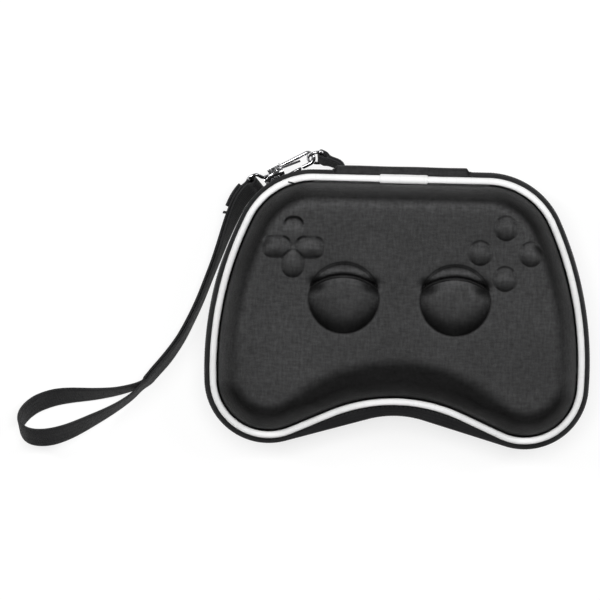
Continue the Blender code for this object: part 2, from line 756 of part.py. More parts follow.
def swivel():
    """A collar on the hook's stud with a wire loop for the strap."""
    start = blockEnd + clearance
    made = rod("swivel_eye", at(start, 0), at(start + collarLength, 0), collarRadius, chrome, 18)
    wall = (collarRadius + studRadius + clearance) / 2
    path = []
    for sign in (1, -1):
        leg = [
            at(start + 0.8 * mm, 0) + sign * (wall + 0.2 * mm) * eyeAcross,
            at(start + collarLength + 0.6 * mm, 0) + sign * (wall + 1.0 * mm) * eyeAcross,
            at(start + collarLength + 2.2 * mm, 0) + sign * eyeHalfWidth * 0.93 * eyeAcross,
            at(eyeDistance - 0.8 * mm, 0) + sign * eyeHalfWidth * eyeAcross,
            at(eyeDistance, 0) + sign * (eyeHalfWidth - 0.8 * mm) * eyeAcross,
        ]
        path += leg if sign > 0 else leg[::-1]
    loop = tube("eye_loop", path, eyeWire, chrome, hookU.cross(eyeAcross), helper=True)
    boolean(made, loop, "UNION")
    bore = rod("collar_bore", at(start - 1 * mm, 0), at(start + collarLength + 2 * mm, 0),
               studRadius + clearance, chrome, 16, helper=True)
    boolean(made, bore, "DIFFERENCE")
    move_origin(made, at(start, 0))
    return made


hookBody = hook()
hookGate = gate()
gateRivet = rivet()
swivelEye = swivel()


# Wrist strap
def smooth(points, steps):
    """A curve through every point, with its lean."""
    points = [Vector(p) for p in points]
    found = []
    for i in range(len(points) - 1):
        a = points[max(i - 1, 0)]
        b, c = points[i], points[i + 1]
        d = points[min(i + 2, len(points) - 1)]
        for k in range(steps):
            t = k / steps
            found.append(0.5 * (2 * b + (c - a) * t + (2 * a - 5 * b + 4 * c - d) * t * t
                                + (3 * b - a - 3 * c + d) * t ** 3))
    found.append(points[-1])
    return found


def leaning(out, lean):
    return math.sin(math.radians(lean)) * out + math.cos(math.radians(lean)) * up


def strap():
    eyeMiddle = at(eyeDistance, 0)
    wrap = eyeWire + eyeSlack + strapThickness / 2
    apart = (strapThickness + layerGap) / 2
    eyePoint = (*(eyeMiddle / mm), 90 - eyeLean)
    middle = smooth((eyePoint,) + strapRoute, 2)
    loop = smooth(((middle[-1].x, middle[-1].y, middle[-1].z, middle[-1].w),) + loopRoute
                  + ((middle[-1].x, middle[-1].y, middle[-1].z, middle[-1].w),), 2)
    outer, inner, fold = [], [], []
    for i, point in enumerate(middle):
        place = point.xyz * mm
        after = middle[min(i + 1, len(middle) - 1)].xyz
        before = middle[max(i - 1, 0)].xyz
        along = (after - before).normalized()
        level = Vector((along.x, along.y, 0)).normalized()
        out = Vector((level.y, -level.x, 0))
        across = leaning(out, point.w) if i > 0 else eyeAcross
        across = (across - across.dot(along) * along).normalized()
        normal = across.cross(along)
        if normal.dot(out) < 0:
            normal = -normal
        spread = apart if i > 0 else wrap
        outer.append((place + spread * normal, across))
        inner.append((place - spread * normal, across))
        fold.append((place + (spread + strapThickness + foldGap) * normal, across))
    normal = (outer[0][0] - inner[0][0]).normalized()
    along = (middle[1].xyz - middle[0].xyz).normalized()
    wrapped = []
    for i in range(1, 6):
        a = math.pi * i / 6
        wrapped.append((eyeMiddle - wrap * (math.cos(a) * normal + math.sin(a) * along), eyeAcross))
    side = heading(loopHeading - 90)
    hand = [(point.xyz * mm, leaning(side, point.w)) for point in loop[1:-1]]
    stations = outer + hand + inner[::-1] + wrapped
    made = ribbon("wrist_strap", stations, strapWidth, strapThickness, webbing, closed=True)
    patch = ribbon("strap_fold", fold[:8], strapWidth, strapThickness, webbing, trim=2)
    return made, patch


wristStrap, strapFold = strap()

# Bodies: the lid turns on the gusset's outer face, the hook on the ring
lidHinge = bpy.data.objects.new("lid_hinge", None)
lidHinge.location = (0, topY + gussetReach, zipLevel)
bpy.context.scene.collection.objects.link(lidHinge)


def carry(carrier, *pieces):
    for piece in pieces:
        piece.parent = carrier
        piece.matrix_parent_inverse = Matrix.Translation(-carrier.location)


carry(lidHinge, lidShell, lidPiping, sleeve, lidBinding, lidTape, lidTeeth)
bpy.context.view_layer.update()
carry(zipSlider, zipPull)
carry(hookBody, hookGate, gateRivet, swivelEye)

carry(swivelEye, wristStrap, strapFold)
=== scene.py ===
# Controller carrying case: moulded lid and back, zip, hinge gusset, hook and wrist strap.
# Lengths are in metres. The case lies on its back and the camera looks straight down.
import math

import bmesh
import bpy
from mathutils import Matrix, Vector, geometry, noise
from mathutils.bvhtree import BVHTree
from mathutils.kdtree import KDTree


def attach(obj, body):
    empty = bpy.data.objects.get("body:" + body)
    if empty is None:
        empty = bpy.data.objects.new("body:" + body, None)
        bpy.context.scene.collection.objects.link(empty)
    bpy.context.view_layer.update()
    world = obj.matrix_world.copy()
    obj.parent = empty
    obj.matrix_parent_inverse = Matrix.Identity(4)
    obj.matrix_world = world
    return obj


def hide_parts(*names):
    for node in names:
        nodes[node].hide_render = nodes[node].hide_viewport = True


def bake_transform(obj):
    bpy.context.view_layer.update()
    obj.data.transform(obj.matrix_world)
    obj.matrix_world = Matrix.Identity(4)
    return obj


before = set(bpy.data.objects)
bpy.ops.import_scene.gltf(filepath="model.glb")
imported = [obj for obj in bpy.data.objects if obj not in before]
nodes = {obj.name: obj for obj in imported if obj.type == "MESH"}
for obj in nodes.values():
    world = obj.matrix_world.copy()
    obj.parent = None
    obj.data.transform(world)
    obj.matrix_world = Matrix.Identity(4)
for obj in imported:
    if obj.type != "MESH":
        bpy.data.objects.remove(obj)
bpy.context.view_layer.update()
mm = 0.001
up = Vector((0, 0, 1))
print("frame loaded:", len(nodes), "nodes")


def addObject(name, data):
    made = bpy.data.objects.new(name, data)
    bpy.context.scene.collection.objects.link(made)
    return made


# Camera and light
view = {"right": (0.99969, 0.02495), "centre": (-0.04546, 0.00167), "level": 0.0432,
        "distance": 3.6, "span": 0.276, "sensor": 36.0, "clip": 20.0}
lamps = {  # place, target, size, power
    "overheadBox": ((-0.04, 0.10, 1.30), (-0.04, 0.0, 0.03), (0.50, 0.40), 10.2),
    "leftStrip": ((-0.62, 0.26, 0.85), (0.0, 0.0, 0.04), (0.22, 0.50), 3.3),
    "rightStrip": ((0.56, 0.26, 0.85), (0.0, 0.0, 0.04), (0.22, 0.50), 3.3),
}
worldGlow = 0.05


def buildCamera():
    lens = bpy.data.cameras.new("photoCamera")
    lens.sensor_width = view["sensor"]
    lens.lens = view["sensor"] * view["distance"] / view["span"]
    lens.clip_end = view["clip"]
    camera = addObject("photoCamera", lens)
    camera.location = (*view["centre"], view["level"] + view["distance"])
    camera.rotation_euler = (0, 0, math.atan2(view["right"][1], view["right"][0]))
    bpy.context.scene.camera = camera


def areaLamp(name, place, target, size, power):
    lamp = bpy.data.lights.new(name, "AREA")
    lamp.shape = "RECTANGLE"
    lamp.size, lamp.size_y = size
    lamp.energy = power
    made = addObject(name, lamp)
    made.location = place
    made.rotation_euler = (Vector(target) - Vector(place)).to_track_quat("-Z", "Y").to_euler()
    made.visible_glossy = name != "overheadBox"  # the plating mirrors the strips only


buildCamera()
for lampName, setting in lamps.items():
    areaLamp(lampName, *setting)
bpy.context.scene.view_settings.view_transform = "Standard"
world = bpy.data.worlds.new("studio")
bpy.context.scene.world = world
world.use_nodes = True
world.node_tree.nodes["Background"].inputs["Color"].default_value = (1, 1, 1, 1)
world.node_tree.nodes["Background"].inputs["Strength"].default_value = worldGlow


# A node's output that can stand in a sum: a * b + c adds the maths nodes it needs
class Value:
    def __init__(self, socket):
        self.socket = socket

    def __add__(self, other):
        return maths("ADD", self, other)

    def __sub__(self, other):
        return maths("SUBTRACT", self, other)

    def __rsub__(self, other):
        return maths("SUBTRACT", other, self)

    def __mul__(self, other):
        return maths("MULTIPLY", self, other)

    def __truediv__(self, other):
        return maths("DIVIDE", self, other)

    def __rtruediv__(self, other):
        return maths("DIVIDE", other, self)


# The node tree that the first of the values belongs to
def treeOf(*values):
    return next(value.socket.id_data for value in values if isinstance(value, Value))


def valuesOf(node):
    return {socket.name: Value(socket) for socket in node.outputs if socket.name}


# Sets the inputs of a node, or links those that come from another node
def fill(node, inputs):
    for key, value in inputs.items():
        if isinstance(value, Value):
            node.id_data.links.new(value.socket, node.inputs[key])
        else:
            node.inputs[key].default_value = value
    return node


def addNode(tree, kind, inputs=None, output=0, **settings):
    made = tree.nodes.new(f"ShaderNode{kind}")
    for key, value in settings.items():
        setattr(made, key, value)
    return Value(fill(made, inputs or {}).outputs[output])


def maths(operation, *values, clamp=False):
    return addNode(treeOf(*values), "Math", dict(enumerate(values)), operation=operation, use_clamp=clamp)


# Maps the stretch from low to high onto that from first to last
def spread(value, low, high, first=0.0, last=1.0):
    return addNode(treeOf(value), "MapRange", dict(enumerate((value, low, high, first, last))))


def mixColours(factor, first, second):
    return addNode(treeOf(factor), "MixRGB", {"Fac": factor, "Color1": first, "Color2": second})


# Noise, streaky where the vector is stretched
def speckle(vector, scale, detail, roughness=0.5):
    return addNode(treeOf(vector), "TexNoise",
                   {"Vector": vector, "Scale": scale, "Detail": detail, "Roughness": roughness})


def stretched(vector, scale, turn=(0.0, 0.0, 0.0)):
    return addNode(treeOf(vector), "Mapping", {"Vector": vector, "Rotation": turn, "Scale": scale})


def scaled(vector, factor):
    return addNode(treeOf(vector), "VectorMath", {0: vector, "Scale": factor}, operation="SCALE")


def partsOf(vector):
    parts = addNode(treeOf(vector), "SeparateXYZ", {0: vector}).socket.node
    return [Value(socket) for socket in parts.outputs]


# Shader node groups: each has its named sizes and gives masks or heights
def newGroup(name, sizes, outputs):
    group = bpy.data.node_groups.new(name, "ShaderNodeTree")
    for label, value in sizes.items():
        kind = "NodeSocketVector" if value is None else "NodeSocketFloat"
        socket = group.interface.new_socket(label, in_out="INPUT", socket_type=kind)
        if value is not None:
            socket.default_value = value
    for label in outputs:
        group.interface.new_socket(label, in_out="OUTPUT", socket_type="NodeSocketFloat")
    start = group.nodes.new("NodeGroupInput")
    return group, valuesOf(start), group.nodes.new("NodeGroupOutput")


# Fine pressed fabric: crossing threads broken up by a slight fuzz
def grainGroup():
    group, given, end = newGroup("fabricGrain", {"Vector": None, "Thread": 0.00055, "Slant": 0.35, "Fuzz": 0.5},
                                 ("Height", "Tone", "Cloud", "Slub"))
    where = given["Vector"]
    threads = scaled(where, math.tau / given["Thread"])
    x, y, _ = partsOf(threads)
    shift = speckle(threads, 0.21, 2.0) * 5.0  # the threads wander
    warp = maths("SINE", x + y * given["Slant"] + shift)
    weft = maths("SINE", y - x * given["Slant"] + shift)
    fuzz = (speckle(where, 2600.0, 3.0, 0.65) - 0.5) * given["Fuzz"]
    height = warp * weft * 0.5 + fuzz * 3.0
    streaks = [speckle(stretched(where, scale), 1.0, 2.0, 0.55)
               for scale in ((900.0, 210.0, 500.0), (260.0, 800.0, 500.0))]  # thicker threads, both ways
    fill(end, {"Height": height, "Tone": spread(height, -1.0, 1.0), "Cloud": speckle(where, 38.0, 4.0, 0.6),
               "Slub": spread(streaks[0] + streaks[1], 0.68, 1.32)})
    return group


# Woven tape in its own plane: ribs across the tape, each rib a herringbone of threads
def webbingGroup():
    group, given, end = newGroup("tapeWeave", {"Vector": None, "Pitch": 0.0008, "Width": 0.0105, "Rows": 9.0},
                                 ("Height", "Tone", "Border"))
    x, y, _ = partsOf(given["Vector"])
    row = y / given["Width"] * given["Rows"]
    lean = maths("PINGPONG", row, 1.0) * 0.9 + x / given["Pitch"]
    ribs = maths("SINE", lean * math.tau)
    ends = maths("COSINE", row * math.tau)
    fibre = speckle(given["Vector"], 3200.0, 3.0, 0.7) - 0.5
    height = ribs * 0.6 + ends * 0.28 + fibre
    edge = maths("ABSOLUTE", y / given["Width"] - 0.5)
    fill(end, {"Height": height, "Tone": spread(height, -1.1, 1.1), "Border": spread(edge, 0.42, 0.48)})
    return group


# Handling marks: fine scratches, smudges and a soft mottling, each as a mask
def wearGroup():
    group, given, end = newGroup("handlingMarks", {"Vector": None, "Scale": 90.0}, ("Scratch", "Smudge", "Mottle"))
    where = given["Vector"]
    lines = speckle(stretched(where, (1.0, 26.0, 26.0), (0.4, 0.3, 0.7)), given["Scale"], 5.0, 0.7)
    smudge = speckle(where, given["Scale"], 2.0)
    mottle = addNode(group, "TexVoronoi", {"Vector": where, "Scale": 900.0}, "Distance")
    fill(end, {"Scratch": spread(lines, 0.60, 0.70), "Smudge": spread(smudge, 0.42, 0.66), "Mottle": mottle})
    return group


# A mask of proud edges, where a finish rubs thin
def edgeGroup():
    group, given, end = newGroup("rubbedEdges", {"Reach": 0.52, "Break": 0.6, "Vector": None}, ("Mask",))
    proud = addNode(group, "NewGeometry", output="Pointiness") - given["Reach"]
    broken = speckle(given["Vector"], 700.0, 3.0) * given["Break"] + (1.0 - given["Break"])
    fill(end, {"Mask": maths("MULTIPLY", maths("MULTIPLY", proud, 14.0, clamp=True), broken, clamp=True)})
    return group


# Painted shade from which way the cloth faces on the piece itself: walls, corners and hollows are painted darker,
# steep walls other than the front ones get a painted lighter strip, and slopes facing up the case are painted lighter
# and those facing down darker, as if lit from above
def paintedShadeGroup():
    group, given, end = newGroup("clothNap", {"Steep": 0.4, "Upward": 0.5}, ("Shade", "Flat"))
    # Painted shade: concave hollows and creases are darker
    hollow = spread(addNode(group, "NewGeometry", output="Pointiness"), 0.497, 0.455, 1.0, 0.18)
    x, y, z = partsOf(addNode(group, "TexCoord", output="Normal"))
    level = maths("ABSOLUTE", z)
    flat = spread(level, 0.66, 0.99)
    held = flat * (1.0 - given["Steep"]) + given["Steep"]
    # Painted light: a lighter strip on steep walls, except those facing down the case
    wall = spread(level, 0.45, 0.12, 0.0, 1.6) * spread(y, -0.55, -0.1)  # steep walls, but not the front ones
    held = held + given["Steep"] * wall
    across = maths("ABSOLUTE", x)
    aslant = across * maths("ABSOLUTE", y)
    sideways = maths("MAXIMUM", aslant * -3.0 + across, 0.0) * 1.15  # slopes to either side
    held = (1.0 - held) * sideways + held
    # Painted shade: corners that slant both across and up or down the case are darker
    held = held * spread(aslant, 0.02, 0.26, 1.0, 0.42)  # the corners are darker
    # Painted light and shade: slopes facing up the case are lighter, those facing down darker
    rise = maths("MAXIMUM", y, 0.0) * (flat * 1.75)
    fall = maths("MINIMUM", y, 0.0) * (flat * 1.1 + 0.52)
    paintedTilt = (rise + fall) * given["Upward"] + 1.0
    paintedTilt = maths("MINIMUM", maths("MAXIMUM", paintedTilt, 0.30), 1.9)
    fill(end, {"Shade": held * paintedTilt * hollow, "Flat": flat})
    return group


grain, tapeWeave, marks, edges, paintedShadeNodes = grainGroup(), webbingGroup(), wearGroup(), edgeGroup(), paintedShadeGroup()
print("node groups built")


# Materials: the principled shader stays here, the groups give its masks and heights
def newMaterial(name, roughness, metallic=0.0, sheen=0.0, specular=0.5):
    made = bpy.data.materials.new(name)
    made.use_nodes = True
    shader = made.node_tree.nodes["Principled BSDF"]
    fill(shader, {"Roughness": roughness, "Metallic": metallic, "Sheen Weight": sheen, "Sheen Roughness": 0.45,
                  "Specular IOR Level": specular})
    return made, made.node_tree, shader


def useGroup(tree, group, **sizes):
    made = tree.nodes.new("ShaderNodeGroup")
    made.node_tree = group
    return valuesOf(fill(made, sizes))


def bump(height, depth):
    return addNode(treeOf(height), "Bump", {"Strength": 1.0, "Distance": depth, "Height": height})


# A colour with its alpha, paler or darker by a factor
def colour(shade, times=1.0):
    return (*[part * times for part in shade], 1)


# Where a point is on its own piece, in metres
def onPiece(tree):
    return addNode(tree, "TexCoord", output="Object")


# The map that loftRings makes: x along the piece and y round it, in metres
def alongPiece(tree):
    return addNode(tree, "UVMap", uv_map="alongPiece")


# Laminated polyester over foam: a fine weave with a soft lustre and rubbed high spots, and painted shade that darkens
# its walls, corners and hollows and lightens its slopes facing up the case
def pressedFabric(name, dark, light, thread, depth, sheen, rough, paintedWallLevel=0.48, paintedTopLight=1.15):
    made, tree, shader = newMaterial(name, rough[0], sheen=sheen, specular=0.20)
    where = onPiece(tree)
    weave = useGroup(tree, grain, Vector=where, Thread=thread, Slant=0.22, Fuzz=0.55)
    wear = useGroup(tree, marks, Vector=where, Scale=70.0)
    rub = useGroup(tree, edges, Vector=where, Reach=0.515, Break=0.55)
    paintedShade = useGroup(tree, paintedShadeNodes, Steep=paintedWallLevel, Upward=paintedTopLight)
    tone = mixColours(weave["Tone"], colour(dark), colour(light))
    cloudy = mixColours(spread(weave["Cloud"], 0.35, 0.7, 0.0, 0.30), tone, colour(light, 1.35))
    rubbed = mixColours(rub["Mask"] * 0.35, cloudy, colour(light, 1.9))
    # Painted shade: the shade group's Shade scales the colour, together with the weave's own slubs
    shade = paintedShade["Shade"] * spread(weave["Slub"], 0.0, 1.0, 0.70, 1.34)
    fill(shader, {"Base Color": scaled(rubbed, shade), "Roughness": spread(wear["Smudge"], 0.0, 1.0, *rough),
                  "Specular IOR Level": spread(paintedShade["Flat"], 0.0, 1.0, 0.03, 0.20),
                  "Normal": bump(weave["Height"], depth)})
    return made


lidCloth = pressedFabric("moulded_lid_cloth", (0.0187, 0.0187, 0.0192), (0.0455, 0.0455, 0.046),
                         thread=0.00062, depth=0.00008, sheen=0.02, rough=(0.46, 0.54))
backCloth = pressedFabric("moulded_back_cloth", (0.011, 0.011, 0.0115), (0.024, 0.024, 0.0245),
                          thread=0.00062, depth=0.00008, sheen=0.04, rough=(0.50, 0.60), paintedWallLevel=0.85, paintedTopLight=0.0)
gussetCloth = pressedFabric("gusset_cloth", (0.015, 0.015, 0.0155), (0.038, 0.038, 0.039),
                            thread=0.00050, depth=0.00009, sheen=0.05, rough=(0.60, 0.70), paintedWallLevel=1.0, paintedTopLight=0.0)


# Short brushed pile inside the case
def brushedLining(name):
    made, tree, shader = newMaterial(name, 0.92, sheen=0.5, specular=0.15)
    where = onPiece(tree)
    weave = useGroup(tree, grain, Vector=where, Thread=0.0011, Slant=0.4, Fuzz=1.6)
    wear = useGroup(tree, marks, Vector=where, Scale=40.0)
    pile = mixColours(weave["Tone"], (0.016, 0.016, 0.018, 1), (0.040, 0.040, 0.043, 1))
    swept = mixColours(wear["Smudge"] * 0.35, pile, (0.055, 0.055, 0.058, 1))
    fill(shader, {"Base Color": swept, "Roughness": spread(weave["Cloud"], 0.3, 0.7, 0.86, 0.98),
                  "Normal": bump(weave["Height"], 0.00014)})
    return made


liningCloth = brushedLining("brushed_lining")


# Coated cord cover: smooth with faint creases across it, and the slit where its end is tucked in
def softPiping(name, dark, light, rough, depth, cutAt=None):
    made, tree, shader = newMaterial(name, rough, specular=0.45)
    where = onPiece(tree)
    wear = useGroup(tree, marks, Vector=where, Scale=120.0)
    folds = spread(speckle(stretched(alongPiece(tree), (900.0, 55.0, 1.0)), 1.0, 3.0), 0.56, 0.70)
    tone = mixColours(folds * 0.3, colour(light), colour(dark))
    dusty = mixColours(wear["Smudge"] * 0.25, tone, colour(dark))
    if cutAt:
        spot = addNode(tree, "VectorMath", {0: where, 1: (*cutAt, 0.0)}, operation="SUBTRACT")
        turned = addNode(tree, "VectorRotate", {"Vector": spot, "Angle": math.radians(12.6)}, rotation_type="Z_AXIS")
        length, width, _ = partsOf(turned)
        slit = spread(maths("ABSOLUTE", length), 0.0021, 0.0018) * spread(maths("ABSOLUTE", width), 0.00045, 0.00028)
        dusty = mixColours(slit, dusty, (0.02, 0.02, 0.02, 1))
    fill(shader, {"Base Color": dusty, "Roughness": spread(wear["Mottle"], 0.0, 1.0, rough - 0.05, rough + 0.12),
                  "Normal": bump(wear["Mottle"] * 0.12 - folds, depth), "Coat Weight": 0.08, "Coat Roughness": 0.35})
    return made


whiteCover = softPiping("white_piping_cover", (0.72, 0.72, 0.71), (0.90, 0.90, 0.90), 0.40, 0.00003, (-0.0504, 0.0554))
sleeveCover = softPiping("white_sleeve_cover", (0.74, 0.74, 0.73), (0.91, 0.91, 0.91), 0.34, 0.00002)
blackCover = softPiping("black_piping_cover", (0.010, 0.010, 0.011), (0.022, 0.022, 0.023), 0.46, 0.00003)


# Herringbone tape from the strip's own map: x along it and y across it, in metres
def wovenTape(name, dark, light, pitch, width, rows, depth, rough, sheen=0.06, stitchPitch=0.0, stitchAt=0.0):
    made, tree, shader = newMaterial(name, rough, sheen=sheen, specular=0.16)
    along = alongPiece(tree)
    weave = useGroup(tree, tapeWeave, Vector=along, Pitch=pitch, Width=width, Rows=rows)
    wear = useGroup(tree, marks, Vector=onPiece(tree), Scale=60.0)
    tone = mixColours(weave["Tone"], colour(dark), colour(light))
    border = mixColours(weave["Border"] * 0.5, tone, colour(light, 1.25))
    dusty = mixColours(wear["Smudge"] * 0.22, border, colour(light, 1.6))
    height = weave["Height"]
    if stitchPitch:  # two dashed rows of sewing, each stitchAt from the tape's middle
        x, y, _ = partsOf(along)
        dash = maths("SINE", x / (stitchPitch / math.tau))
        aside = maths("ABSOLUTE", maths("ABSOLUTE", y - width / 2) - stitchAt)
        thread = spread(aside, 0.0003, 0.00015) * spread(dash, -0.55, -0.25)
        dusty = mixColours(thread * 0.5, dusty, colour(light, 1.9))
        height = height + thread * 2.0
    fill(shader, {"Base Color": dusty, "Roughness": spread(weave["Tone"], 0.0, 1.0, rough + 0.1, rough - 0.06),
                  "Normal": bump(height, depth)})
    return made


strapTape = wovenTape("strap_tape", (0.006, 0.006, 0.0065), (0.029, 0.029, 0.030),
                      pitch=0.00082, width=0.0105, rows=9.0, depth=0.00016, rough=0.58)
foldTape = wovenTape("strap_fold_tape", (0.008, 0.008, 0.009), (0.030, 0.030, 0.032),
                     pitch=0.00082, width=0.0105, rows=9.0, depth=0.00016, rough=0.58,
                     stitchPitch=0.0022, stitchAt=0.0041)
tabTape = wovenTape("ring_tab_tape", (0.009, 0.009, 0.010), (0.030, 0.030, 0.032),
                    pitch=0.0007, width=0.007, rows=6.0, depth=0.00013, rough=0.60,
                    stitchPitch=0.0020, stitchAt=0.0026)
zipTapeCloth = wovenTape("zip_tape_cloth", (0.008, 0.008, 0.009), (0.026, 0.026, 0.027),
                         pitch=0.0006, width=0.006, rows=8.0, depth=0.00009, rough=0.64, sheen=0.04,
                         stitchPitch=0.0021, stitchAt=0.0020)
bindingCloth = wovenTape("binding_tape_cloth", (0.010, 0.010, 0.011), (0.030, 0.030, 0.032),
                         pitch=0.0009, width=0.0082, rows=6.0, depth=0.00010, rough=0.68,
                         stitchPitch=0.0030, stitchAt=0.0004)


# The zip's nylon coil: slightly glossy, rubbed paler where the slider runs
def coilPlastic(name):
    made, tree, shader = newMaterial(name, 0.36)
    where = onPiece(tree)
    wear = useGroup(tree, marks, Vector=where, Scale=300.0)
    rub = useGroup(tree, edges, Vector=where, Reach=0.53, Break=0.4)
    base = mixColours(wear["Smudge"], (0.020, 0.020, 0.021, 1), (0.040, 0.040, 0.041, 1))
    worn = mixColours(rub["Mask"] * 0.5, base, (0.075, 0.075, 0.078, 1))
    fill(shader, {"Base Color": worn, "Roughness": spread(wear["Scratch"], 0.0, 1.0, 0.32, 0.5),
                  "Normal": bump(wear["Mottle"], 0.00002)})
    return made


coil = coilPlastic("zip_coil")


# Bright plating over cast metal: hairline scratches, faint smudges and dulled edges
def plated(name, tint, rough, dull):
    made, tree, shader = newMaterial(name, rough, metallic=1.0)
    where = onPiece(tree)
    wear = useGroup(tree, marks, Vector=where, Scale=260.0)
    rub = useGroup(tree, edges, Vector=where, Reach=0.54, Break=0.7)
    haze = mixColours(wear["Smudge"] * 0.6, colour(tint), colour(tint, 0.72))
    worn = mixColours(rub["Mask"] * 0.4, haze, colour(dull))
    rougher = wear["Smudge"] * 0.10 + rough
    fill(shader, {"Base Color": worn, "Roughness": wear["Scratch"] * 0.14 + rougher,
                  "Normal": bump(wear["Scratch"], -0.000004)})
    return made


ringMetal = plated("ring_plating", (0.86, 0.86, 0.88), 0.14, (0.50, 0.49, 0.48))
hookMetal = plated("hook_plating", (0.88, 0.88, 0.90), 0.12, (0.52, 0.51, 0.50))
gateMetal = plated("gate_plating", (0.88, 0.88, 0.90), 0.11, (0.52, 0.51, 0.50))
rivetMetal = plated("rivet_plating", (0.78, 0.78, 0.80), 0.18, (0.46, 0.45, 0.44))
eyeMetal = plated("swivel_plating", (0.86, 0.86, 0.88), 0.13, (0.50, 0.49, 0.48))
sliderMetal = plated("slider_plating", (0.70, 0.70, 0.72), 0.18, (0.42, 0.41, 0.40))
pullMetal = plated("pull_plating", (0.74, 0.74, 0.76), 0.16, (0.44, 0.43, 0.42))


# Twisted polyester thread
def sewingThread(name):
    made, tree, shader = newMaterial(name, 0.55, sheen=0.2, specular=0.3)
    twist = useGroup(tree, grain, Vector=onPiece(tree), Thread=0.00018, Slant=1.0, Fuzz=0.8)
    fill(shader, {"Base Color": mixColours(twist["Tone"], (0.010, 0.010, 0.011, 1), (0.045, 0.045, 0.048, 1)),
                  "Normal": bump(twist["Height"], 0.00003)})
    return made


threadPaint = sewingThread("sewing_thread")
print("materials built")

floorPlane = {"reach": 4.0, "grey": 0.26, "glow": 0.77}


# A pale floor that keeps the shadow; seen directly it is lifted to the photograph's white
def standOnFloor():
    made, tree, shader = newMaterial("studio_floor", 0.9, specular=0.1)
    fill(shader, {"Base Color": colour((1, 1, 1), floorPlane["grey"])})
    path = valuesOf(tree.nodes.new("ShaderNodeLightPath"))
    seen = maths("MAXIMUM", path["Is Camera Ray"], path["Is Glossy Ray"])
    seen = maths("MAXIMUM", seen, path["Is Transmission Ray"])
    glow = addNode(tree, "Emission", {"Color": (1, 1, 1, 1), "Strength": seen * floorPlane["glow"]})
    both = addNode(tree, "AddShader", {0: glow, 1: Value(shader.outputs[0])})
    fill(tree.nodes["Material Output"], {"Surface": both})
    reach = floorPlane["reach"]
    data = bpy.data.meshes.new("studioFloor")
    data.from_pydata([(-reach, -reach, 0), (reach, -reach, 0), (reach, reach, 0), (-reach, reach, 0)], [],
                     [(0, 1, 2, 3)])
    data.materials.append(made)
    addObject("studioFloor", data)


standOnFloor()


# Mesh helpers
def makePiece(name, mesh, paint, corner=50.0):
    mesh.normal_update()
    bmesh.ops.recalc_face_normals(mesh, faces=mesh.faces)
    data = bpy.data.meshes.new(name)
    mesh.to_mesh(data)
    mesh.free()
    data.materials.append(paint)
    data.shade_smooth()
    data.set_sharp_from_angle(angle=math.radians(corner))
    return addObject(name, data)


def placePiece(piece, body, slotName, *replaced):
    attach(piece, body)
    if replaced:
        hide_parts(*replaced)


# Cosine and sine at even steps round a circle
def circle(count, shift=0.0):
    angles = [math.tau * (k + shift) / count for k in range(count)]
    return [(math.cos(a), math.sin(a)) for a in angles]


# Distances along a path, from its first point to each point
def distances(path):
    found = [0.0]
    for a, b in zip(path, path[1:]):
        found.append(found[-1] + (b - a).length)
    return found


# Which way a path runs at one of its points
def courseAt(path, i, closed=False):
    before = path[i - 1] if i > 0 or closed else path[i]
    after = path[(i + 1) % len(path)] if i + 1 < len(path) or closed else path[i]
    return (after - before).normalized()


# Quads from each ring of vertices to the next
def bridge(mesh, rows):
    made = []
    for first, second in zip(rows, rows[1:]):
        for k in range(len(first)):
            j = (k + 1) % len(first)
            made.append(mesh.faces.new((first[k], first[j], second[j], second[k])))
    return made


def capEnds(mesh, rows):
    mesh.faces.new(rows[0])
    mesh.faces.new(reversed(rows[-1]))


def addTube(mesh, rings):
    rows = [[mesh.verts.new(point) for point in ring] for ring in rings]
    bridge(mesh, rows)
    capEnds(mesh, rows)


# Quads between equal rings, with a map in metres: x along the rings and y round them
def loftRings(name, rings, paint, closed=False, corner=50.0, capped=True, lengths=None, breadths=None):
    mesh = bmesh.new()
    layer = mesh.loops.layers.uv.new("alongPiece")
    rows = [[mesh.verts.new(point) for point in ring] for ring in rings]
    count = len(rows[0])
    lengths = lengths or distances([ring[0] for ring in rings + rings[:1]])
    breadths = breadths or distances(rings[0] + rings[0][:1])
    for number, face in enumerate(bridge(mesh, rows + rows[:1] if closed else rows)):
        i, k = divmod(number, count)
        for loop, (a, b) in zip(face.loops, ((i, k), (i, k + 1), (i + 1, k + 1), (i + 1, k))):
            loop[layer].uv = (lengths[a], breadths[b])
    if not closed and capped:
        capEnds(mesh, rows)
    return makePiece(name, mesh, paint, corner)


# Rises softly from 0 at low to 1 at high
def smoothStep(low, high, value):
    t = min(1.0, max(0.0, (value - low) / (high - low)))
    return t * t * (3 - 2 * t)


def heading(angle):
    return Vector((math.cos(math.radians(angle)), math.sin(math.radians(angle)), 0))


# Between b and c on the curve through a, b, c and d
def curveAt(a, b, c, d, t):
    return 0.5 * (2 * b + (c - a) * t + (2 * a - 5 * b + 4 * c - d) * t * t + (3 * b - a - 3 * c + d) * t ** 3)


# A curve through every point
def smoothPath(points, steps):
    points = [Vector(p) for p in points]
    found = []
    for i in range(len(points) - 1):
        a, b = points[max(i - 1, 0)], points[i]
        c, d = points[i + 1], points[min(i + 2, len(points) - 1)]
        found += [curveAt(a, b, c, d, k / steps) for k in range(steps)]
    return found + [points[-1]]


